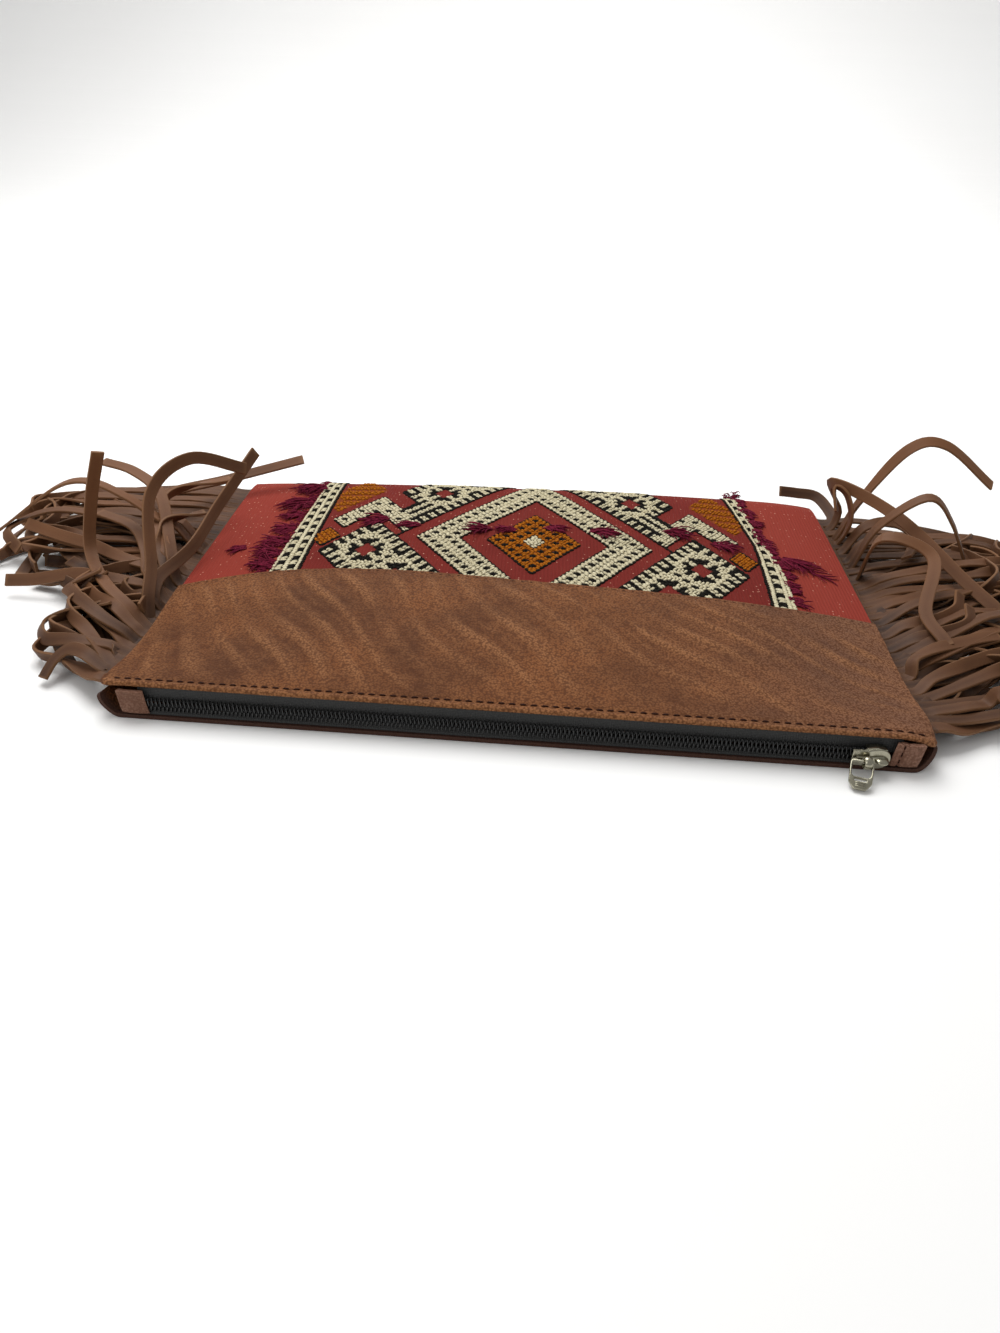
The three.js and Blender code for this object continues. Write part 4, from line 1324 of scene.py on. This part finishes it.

# Fringes
# Two rows of strips cut from one folded band of the leather, which is sewn into each side seam. The strips
# are softer and darker than the panels, pale on their cut edges, and lie and curl as they fell. Light and
# shade are also painted into their colour: darker low in the heap, in the lower row, in the band, near the
# seam and on the right, paler high up.
STRIP_WIDTH = 5.5
STRIP_LENGTH = 114
STRIP_THICKNESS = 1.3
STRIP_PITCH = 5.6
STRIP_FIRST = -98
STRIP_COUNT = 36
HEAD_INNER = 8
HEAD_OUTER = 3
HEAD_THICKNESS = 1.4
STATIONS = 46
LEFT_STRIPS = (
    # root, then lead, bend, turn and tip as distance out, along and up, then the twist in degrees
    (-92.4, (13, -88, 13), (22, -83, 12), (28, -85, 8), (31, -91, 3), 45),
    (-75.6, (22, -75, 7), (38, -71, 6), (41, -60, 9), (18, -51, 15), 60),
    (-64.4, (20, -60, 15), (36, -46, 16), (42, -36, 14), (30, -30, 19), 40),
    (-58.8, (18, -50, 8), (31, -40, 9), (36, -33, 11), (30, -25, 15), 55),
    (-53.2, (23, -40, 14), (44, -8, 16), (43, 0, 38), (36, 0, 60), -10),
    (-47.6, (9, -28, 19), (14, -4, 44), (2, 16, 53), (-15, 40, 40), -10),
    (-42.0, (8, -20, 11), (0, 2, 18), (-5, 26, 27), (-16, 55, 43), -30),
    (-36.4, (16, -34, 6), (23, -28, 7), (22, -20, 9), (16, -17, 10), 60),
    (-30.8, (16, -16, 9), (24, 4, 12), (34, 18, 17), (54, 28, 19), 15),
    (-25.2, (31, -24, 7), (48, -22, 9), (64, -22, 8), (78, -22, 7), 50),
    (-19.6, (10, -10, 10), (18, 8, 17), (18, 18, 21), (3, 28, 22), None),
    (-14.0, (14, 8, 15), (24, 30, 29), (40, 42, 35), (58, 50, 36), 30),
    (-8.4, (28, -4, 9), (46, 2, 14), (66, 8, 16), (84, 16, 17), 45),
    (-2.8, (14, 2, 11), (23, 24, 22), (20, 40, 27), (-2, 56, 28), None),
    (19.6, (20, 20, 13), (36, 20, 31), (62, 20, 37), (103, 22, 9), 0),
    (25.2, (23, 29, 17), (28, 46, 22), (8, 83, 17), (-29, 95, 25), -15),
    (30.8, (46, 30, 15), (76, 28, 19), (95, 18, 12), (85, 6, 7), 0),
)
RIGHT_STRIPS = (
    (-86.8, (18, -84, 10), (27, -80, 9), (31, -80, 14), (37, -90, 5), 0),
    (-70.0, (12, -64, 9), (24, -56, 10), (40, -48, 11), (54, -42, 10), 60),
    (-58.8, (8, -52, 10), (20, -44, 12), (33, -38, 11), (48, -32, 9), 50),
    (-36.4, (14, -34, 9), (24, -32, 11), (37, -26, 14), (39, -18, 18), 60),
    (-25.2, (13, -22, 8), (26, -20, 9), (36, -14, 13), (39, -6, 18), 60),
    (30.8, (9, 19, 31), (29, 8, 28), (20, -22, 15), (24, -42, 7), 30),
    (42.0, (14, 42, 26), (33, 40, 43), (47, 40, 31), (58, 40, 10), 10),
    (47.6, (12, 50, 14), (28, 52, 16), (34, 44, 17), (28, 34, 15), 40),
    (58.8, (15, 63, 17), (30, 66, 19), (38, 57, 16), (32, 40, 9), 45),
    (70.0, (8, 64, 20), (5, 68, 31), (-1, 70, 34), (0, 64, 24), 30),
    (75.6, (14, 75, 26), (31, 75, 53), (49, 76, 56), (77, 78, 36), 40),
    (86.8, (9, 89, 15), (0, 79, 33), (26, 44, 29), (56, -12, 10), -50),
    (92.4, (9, 99, 7), (3, 112, 12), (-8, 114, 13), (-17, 113, 14), 0),
)
LEFT_STYLE = rows_of(
    "at reach rise drift back",
    (-1.0, 34, 8, 26, 0.20),
    (-0.6, 46, 11, 32, 0.15),
    (-0.2, 78, 13, 22, 0.12),
    (0.3, 86, 7, -6, 0.08),
    (1.0, 78, 3, -30, 0.10),
)
RIGHT_STYLE = rows_of(
    "at reach rise drift back",
    (-1.0, 50, 7, 26, 0.12),
    (-0.4, 72, 9, 36, 0.10),
    (0.2, 84, 10, 12, 0.10),
    (1.0, 82, 4, -36, 0.12),
)
# A strip's section: share of the width, share of the thickness, and how much of the pale cut edge shows.
STRIP_SECTION = (
    (-0.50, 0.30, 1.0),
    (-0.45, 0.50, 0.3),
    (0.00, 0.52, 0.0),
    (0.45, 0.50, 0.3),
    (0.50, 0.30, 1.0),
    (0.50, -0.30, 1.0),
    (0.45, -0.50, 0.3),
    (0.00, -0.48, 0.0),
    (-0.45, -0.50, 0.3),
    (-0.50, -0.30, 1.0),
)
# The heap is kept as square cells, each with the height that the strips in it have reached.
HEAP_CELL = 1.6
HEAP_TOP = 20
HEAP_GAP = 0.15
TABLE_GAP = 0.3
SWAY = 4.5
FLUTTER = 2.0
FLATNESS = 0.0006
UNDER_DROP = 1.4
UNDER_LENGTH = 72
# How pale a strip's brown is: each upper strip's tone differs at random, and light and shade are painted
# on. The lower row is painted darker as shade, strips are painted paler high in the heap and darker low in
# it, and painted shade darkens them close to the seam. No tone goes below DARKEST_TONE.
UNDER_TONE = -0.3
UPPER_TONE = 0.6
TONE_SPREAD = 0.4
DARKEST_TONE = -0.25
HEAP_SHADE_LEVEL = 10
SEAM_SHADE = 0.35
SEAM_SHADE_REACH = 12
BAND_STATIONS = 80
# How a strip runs on over the table: length of a step, fall at each, lowest height, distance from the seam.
RUN_STEP = 3.0
RUN_FALL = 0.9
RUN_LOWEST = 2.2
RUN_CLEAR = 8


def band_height(y):
    """Height of the middle of the band in the side seams."""
    return read_table(HEIGHTS, "lift", y / HALF_DEPTH) + LEATHER + GAP + HEAD_THICKNESS / 2


def spread(k, kind):
    """A repeatable value between -1 and 1 for strip number k."""
    return 2 * ((math.sin(k * 12.9 + kind * 78.2) * 437.5) % 1) - 1


def style_at(style, root, *columns):
    """How the strips of one side lie at a root: the columns asked for of the side's style."""
    return [float(read_table(style, column, root / HALF_DEPTH)) for column in columns]


def plain_strip(k, root, style):
    """A strip that leaves the seam, rises, sweeps along it and comes down or curls back."""
    reach, rise, drift, back = style_at(style, root, "reach", "rise", "drift", "back")
    reach *= 1 + 0.2 * spread(k, 1)
    rise *= 0.6 + 0.5 * spread(k, 2)
    drift += 13 * spread(k, 3)
    back *= 1 + 0.4 * spread(k, 5)
    sag = 1 + 0.5 * spread(k, 4)
    lead = (reach * 0.28, root + drift * 0.14, 5 + rise * 0.6)
    bend = (reach * 0.66, root + drift * 0.5, 5 + rise)
    turn = (reach, root + drift * 0.85, 3 + rise * 0.6 * sag)
    tip = (reach * (1.12 - back), root + drift * 1.2 + 5 * spread(k, 6), 3.2 + rise * back * sag * 1.3)
    return (root, lead, bend, turn, tip, None)


def under_strip(k, root, style):
    """A strip of the band's lower half, which lies under the others on the table."""
    reach, drift = style_at(style, root, "reach", "drift")
    reach *= 0.85 + 0.15 * spread(k, 21)
    drift += 14 * spread(k, 22)
    lead = (reach * 0.2, root + drift * 0.1, 3)
    bend = (reach * 0.45, root + drift * 0.35, 2)
    turn = (reach * 0.75, root + drift * 0.7, 2)
    tip = (reach, root + drift * 1.1, 2)
    return (root, lead, bend, turn, tip, None)


def soften(values):
    """A row of values, each the mean of its neighbours over six stations either way."""
    return np.convolve(np.pad(values, 6, mode="edge"), np.hanning(15)[1:-1] / 7, mode="valid")


def resampled(points):
    """Evenly spaced stations along a line of points."""
    gone = np.concatenate([[0], np.cumsum(np.linalg.norm(np.diff(points, axis=0), axis=1))])
    wanted = np.linspace(0, gone[-1], STATIONS)
    return np.stack([np.interp(wanted, gone, points[:, axis]) for axis in range(3)], axis=1)


def smooth_path(points):
    """Evenly spaced stations on a smooth curve through the points."""
    ends = np.vstack([2 * points[0] - points[1], points, 2 * points[-1] - points[-2]])
    t = np.linspace(0, 1, 24, endpoint=False)[:, None]
    runs = [
        curve_between(b, c, (c - a) / 2, (d - b) / 2, t)
        for a, b, c, d in zip(ends, ends[1:], ends[2:], ends[3:])
    ]
    return resampled(np.vstack([*runs, points[-1:]]))


def strip_frames(path, twist):
    """Directions across a strip and out of its face at each station.

    A strip leaves the seam flat. It then takes its twist or, with none given, turns so that it bends across
    its face, which leather does more easily than edgeways, and lies flat where it runs straight.
    """
    ahead = np.gradient(path, axis=0)
    ahead /= np.linalg.norm(ahead, axis=1, keepdims=True)
    carried = [np.array([0.0, 1.0, 0.0])]
    for lead in ahead:
        level = carried[-1] - lead * carried[-1].dot(lead)
        carried.append(level / np.linalg.norm(level))
    carried = np.array(carried[1:])
    beside = np.cross(ahead, carried)
    share = np.linspace(0, 1, len(path))
    if twist is None:
        curve = np.gradient(ahead, axis=0) / np.linalg.norm(path[-1] - path[-2])
        bend = (curve * carried).sum(axis=1) + 1j * (curve * beside).sum(axis=1)
        flat = carried[:, 2] + 1j * beside[:, 2]
        doubled = soften(-(bend**2) - FLATNESS * flat**2)
        twist = soften(np.unwrap(np.angle(doubled)) / 2)
        twist -= np.pi * np.round(twist[4] / np.pi)
        ease = np.clip((share - 0.06) / 0.2, 0, 1)
    else:
        ease = np.clip((share - 0.12) / 0.45, 0, 1)
    angle = (twist * ease**2 * (3 - 2 * ease))[:, None]
    widths = carried * np.cos(angle) + beside * np.sin(angle)
    return widths, np.cross(ahead, widths)


def strip_points(path, widths, faces):
    """Points of one strip along its path, and how much of the pale cut edge shows at each."""
    section = np.array(STRIP_SECTION)
    across = widths[:, None] * section[:, :1] * STRIP_WIDTH
    out = faces[:, None] * section[:, 1:2] * STRIP_THICKNESS
    edge = np.tile(section[:, 2], len(path))
    edge[-len(section):] = 1
    return (path[:, None] + across + out).reshape(-1, 3), edge


def run_on(path, k, outward, length):
    """The path carried on over the table to the length given, curling away from the nearer seam end."""
    rest = length - np.linalg.norm(np.diff(path, axis=0), axis=1).sum()
    away = path[-1] - path[-4]
    heading = math.atan2(away[1], away[0])
    curl = outward * (0.03 + 0.015 * spread(k, 18)) * (1 if path[0, 1] < 10 else -1)
    points = list(path)
    for _ in range(int(rest / RUN_STEP)):
        heading += curl * RUN_STEP
        x, y, z = points[-1]
        points.append(np.array([
            outward * max(abs(x + RUN_STEP * math.cos(heading)), HALF_WIDTH + RUN_CLEAR),
            y + RUN_STEP * math.sin(heading),
            max(RUN_LOWEST, z - RUN_FALL),
        ]))
    return resampled(np.array(points))


def swayed(path, k):
    """The path of strip number k with the slack waves that soft leather takes."""
    t = np.linspace(0, 1, len(path))
    ease = np.clip((t - 0.12) / 0.3, 0, 1)

    def wave(kind):
        return np.sin(2 * np.pi * (t * (1.2 + 0.5 * spread(k, kind)) + spread(k, kind + 1)))

    path[:, 1] += ease * SWAY * spread(k, 10) * wave(11)
    path[:, 2] = np.maximum(path[:, 2] + ease * FLUTTER * spread(k, 13) * wave(14), 1.5)
    return path


def fringe_paths(outward, picked, style):
    """The path, twist and tone of every strip on one side, outward being -1 on the left, 1 on the right."""
    paths = []
    for k in range(2 * STRIP_COUNT - 1):
        lower = k >= STRIP_COUNT
        root = STRIP_FIRST + (k - STRIP_COUNT + 0.5 if lower else k) * STRIP_PITCH
        chosen = [row for row in picked if abs(row[0] - root) < STRIP_PITCH / 4]
        if chosen:
            strip = chosen[0]
        else:
            strip = under_strip(k, root, style) if lower else plain_strip(k, root, style)
        _, lead, bend, turn, tip, twist = strip
        height = float(band_height(root)) - (UNDER_DROP if lower else 0)
        start = (1, root, height)
        leave = (6, root + 0.15 * (lead[1] - root), height)
        points = np.array([start, leave, lead, bend, turn, tip], float)
        points[:, 0] = outward * (HALF_WIDTH + points[:, 0])
        path = smooth_path(points)
        if not chosen:
            path = swayed(run_on(path, k, outward, UNDER_LENGTH if lower else STRIP_LENGTH), k)
        # The lower row is painted darker, as shade under the upper one. Upper strips differ at random.
        tone = UNDER_TONE if lower else UPPER_TONE + TONE_SPREAD * spread(k, 17)
        paths.append((path, twist and math.radians(outward * twist), tone))
    return paths


def lay_down(paths):
    """Lays the strips one by one, the low ones first, each lifted where it would pass through those below."""
    heap = {}
    laid = []
    for path, twist, tone in sorted(paths, key=lambda strip: strip[0][:, 2].mean()):
        path = path.copy()
        widths, faces = strip_frames(path, twist)
        half = np.abs(widths[:, 2]) * STRIP_WIDTH / 2 + np.abs(faces[:, 2]) * STRIP_THICKNESS / 2
        snug = 0.5 * half
        shares = np.linspace(-0.5, 0.5, 5) * STRIP_WIDTH
        spots = path[:, None] + widths[:, None] * shares[:, None]
        cells = np.round(spots[:, :, :2] / HEAP_CELL).astype(int)
        below = np.array([max(heap.get(tuple(cell), 0) for cell in row) for row in cells])
        need = HEAP_TOP * np.tanh((below + snug + HEAP_GAP) / HEAP_TOP)
        need[:4] = 0
        lift = np.maximum(0, need - path[:, 2])
        near = [np.max(lift[max(0, k - 3):k + 4]) for k in range(len(lift))]
        path[:, 2] += soften(near) * np.clip(np.arange(len(path)) / 5, 0, 1)
        path[:, 2] = np.maximum(path[:, 2], half + TABLE_GAP)
        for row, top in zip(cells, path[:, 2] + snug):
            for cell in row:
                heap[tuple(cell)] = max(heap.get(tuple(cell), 0), top)
        laid.append((path, twist, tone))
    return laid


def fringe_leather():
    """Soft chrome-tanned leather: a dull brown with a faint sheen, and a paler raw edge along the cuts."""
    material, tree, shader, place = new_material("soft_fringe_leather")
    broad = add_node(tree, "ShaderNodeTexNoise", {"Vector": place, "Scale": 1 / (20 * MM), "Detail": 3})
    grain = add_node(tree, "ShaderNodeTexNoise", {"Vector": place, "Scale": 1 / (0.8 * MM), "Detail": 4})
    cut, tone = (
        add_node(tree, "ShaderNodeAttribute", attribute_name=mark).outputs["Fac"]
        for mark in ("cut_edge", "tone")
    )
    # The tone mark holds each strip's random tone together with its painted light and shade.
    both = add_node(tree, "ShaderNodeMath", {0: broad, 1: tone}, operation="ADD")
    half = add_node(tree, "ShaderNodeMath", {0: both, 1: 0.5}, operation="MULTIPLY")
    face = add_node(tree, "ShaderNodeMix", {0: half, 6: "#23120A", 7: "#6F482D"}, data_type="RGBA")
    raw = add_node(tree, "ShaderNodeMath", {0: cut, 1: 0.5}, operation="MULTIPLY")
    edged = add_node(tree, "ShaderNodeMix", {0: raw, 6: face, 7: "#86603F"}, data_type="RGBA")
    bump = add_node(tree, "ShaderNodeBump", {"Height": grain, "Strength": 0.35, "Distance": 0.2 * MM})
    set_inputs(shader, {"Base Color": edged, "Normal": bump, "Roughness": 0.6, "Specular IOR Level": 0.22})
    return material


strip_leather = fringe_leather()
# The right fringe is painted a little darker, as shade.
for name, outward, picked, style, node, side_shade in (
    ("fringe_strips_left", -1, LEFT_STRIPS, LEFT_STYLE, "fringe_left", 0.0),
    ("fringe_strips_right", 1, RIGHT_STRIPS, RIGHT_STYLE, "fringe_right", -0.2),
):
    runs = []
    for path, twist, tone in lay_down(fringe_paths(outward, picked, style)):
        cloud, edge = strip_points(path, *strip_frames(path, twist))
        # Painted light and shade by height: paler high in the heap, darker low in it and near the seam.
        heap_light_and_shade = np.clip((cloud[:, 2] - HEAP_SHADE_LEVEL) / 20, -0.45, 0.9)
        out = np.maximum(0, np.abs(cloud[:, 0]) - HALF_WIDTH)
        shaded = tone + side_shade + heap_light_and_shade - SEAM_SHADE * np.exp(-out / SEAM_SHADE_REACH)
        runs.append((cloud, edge, np.maximum(DARKEST_TONE, shaded)))

    # The band that the strips are cut from is one more such run, along the seam, painted in the darkest tone
    # as deep shade.
    first = STRIP_FIRST - STRIP_PITCH / 2
    along = np.linspace(first, first + STRIP_COUNT * STRIP_PITCH, BAND_STATIONS)
    middle = np.full(BAND_STATIONS, outward * (HALF_WIDTH + (HEAD_OUTER - HEAD_INNER) / 2))
    band = np.stack([middle, along, band_height(along)], axis=1)
    across = np.tile([outward * (HEAD_INNER + HEAD_OUTER) / STRIP_WIDTH, 0, 0], (BAND_STATIONS, 1))
    up = np.tile([0, 0, HEAD_THICKNESS / STRIP_THICKNESS], (BAND_STATIONS, 1))
    cloud, edge = strip_points(band, across, up)
    runs.append((cloud, edge, np.full(len(edge), DARKEST_TONE)))

    clouds, edges, tones = zip(*runs)
    faces = []
    base = 0
    for cloud in clouds:
        faces += tube_faces(len(cloud) // len(STRIP_SECTION), len(STRIP_SECTION), base)
        base += len(cloud)
    fringe = mesh_piece(name, np.vstack(clouds), faces, strip_leather)
    fringe.data.set_sharp_from_angle(angle=math.radians(25))
    mark_points(fringe.data, {"cut_edge": np.concatenate(edges), "tone": np.concatenate(tones)})
    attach(fringe, "bag")
    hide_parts(node)
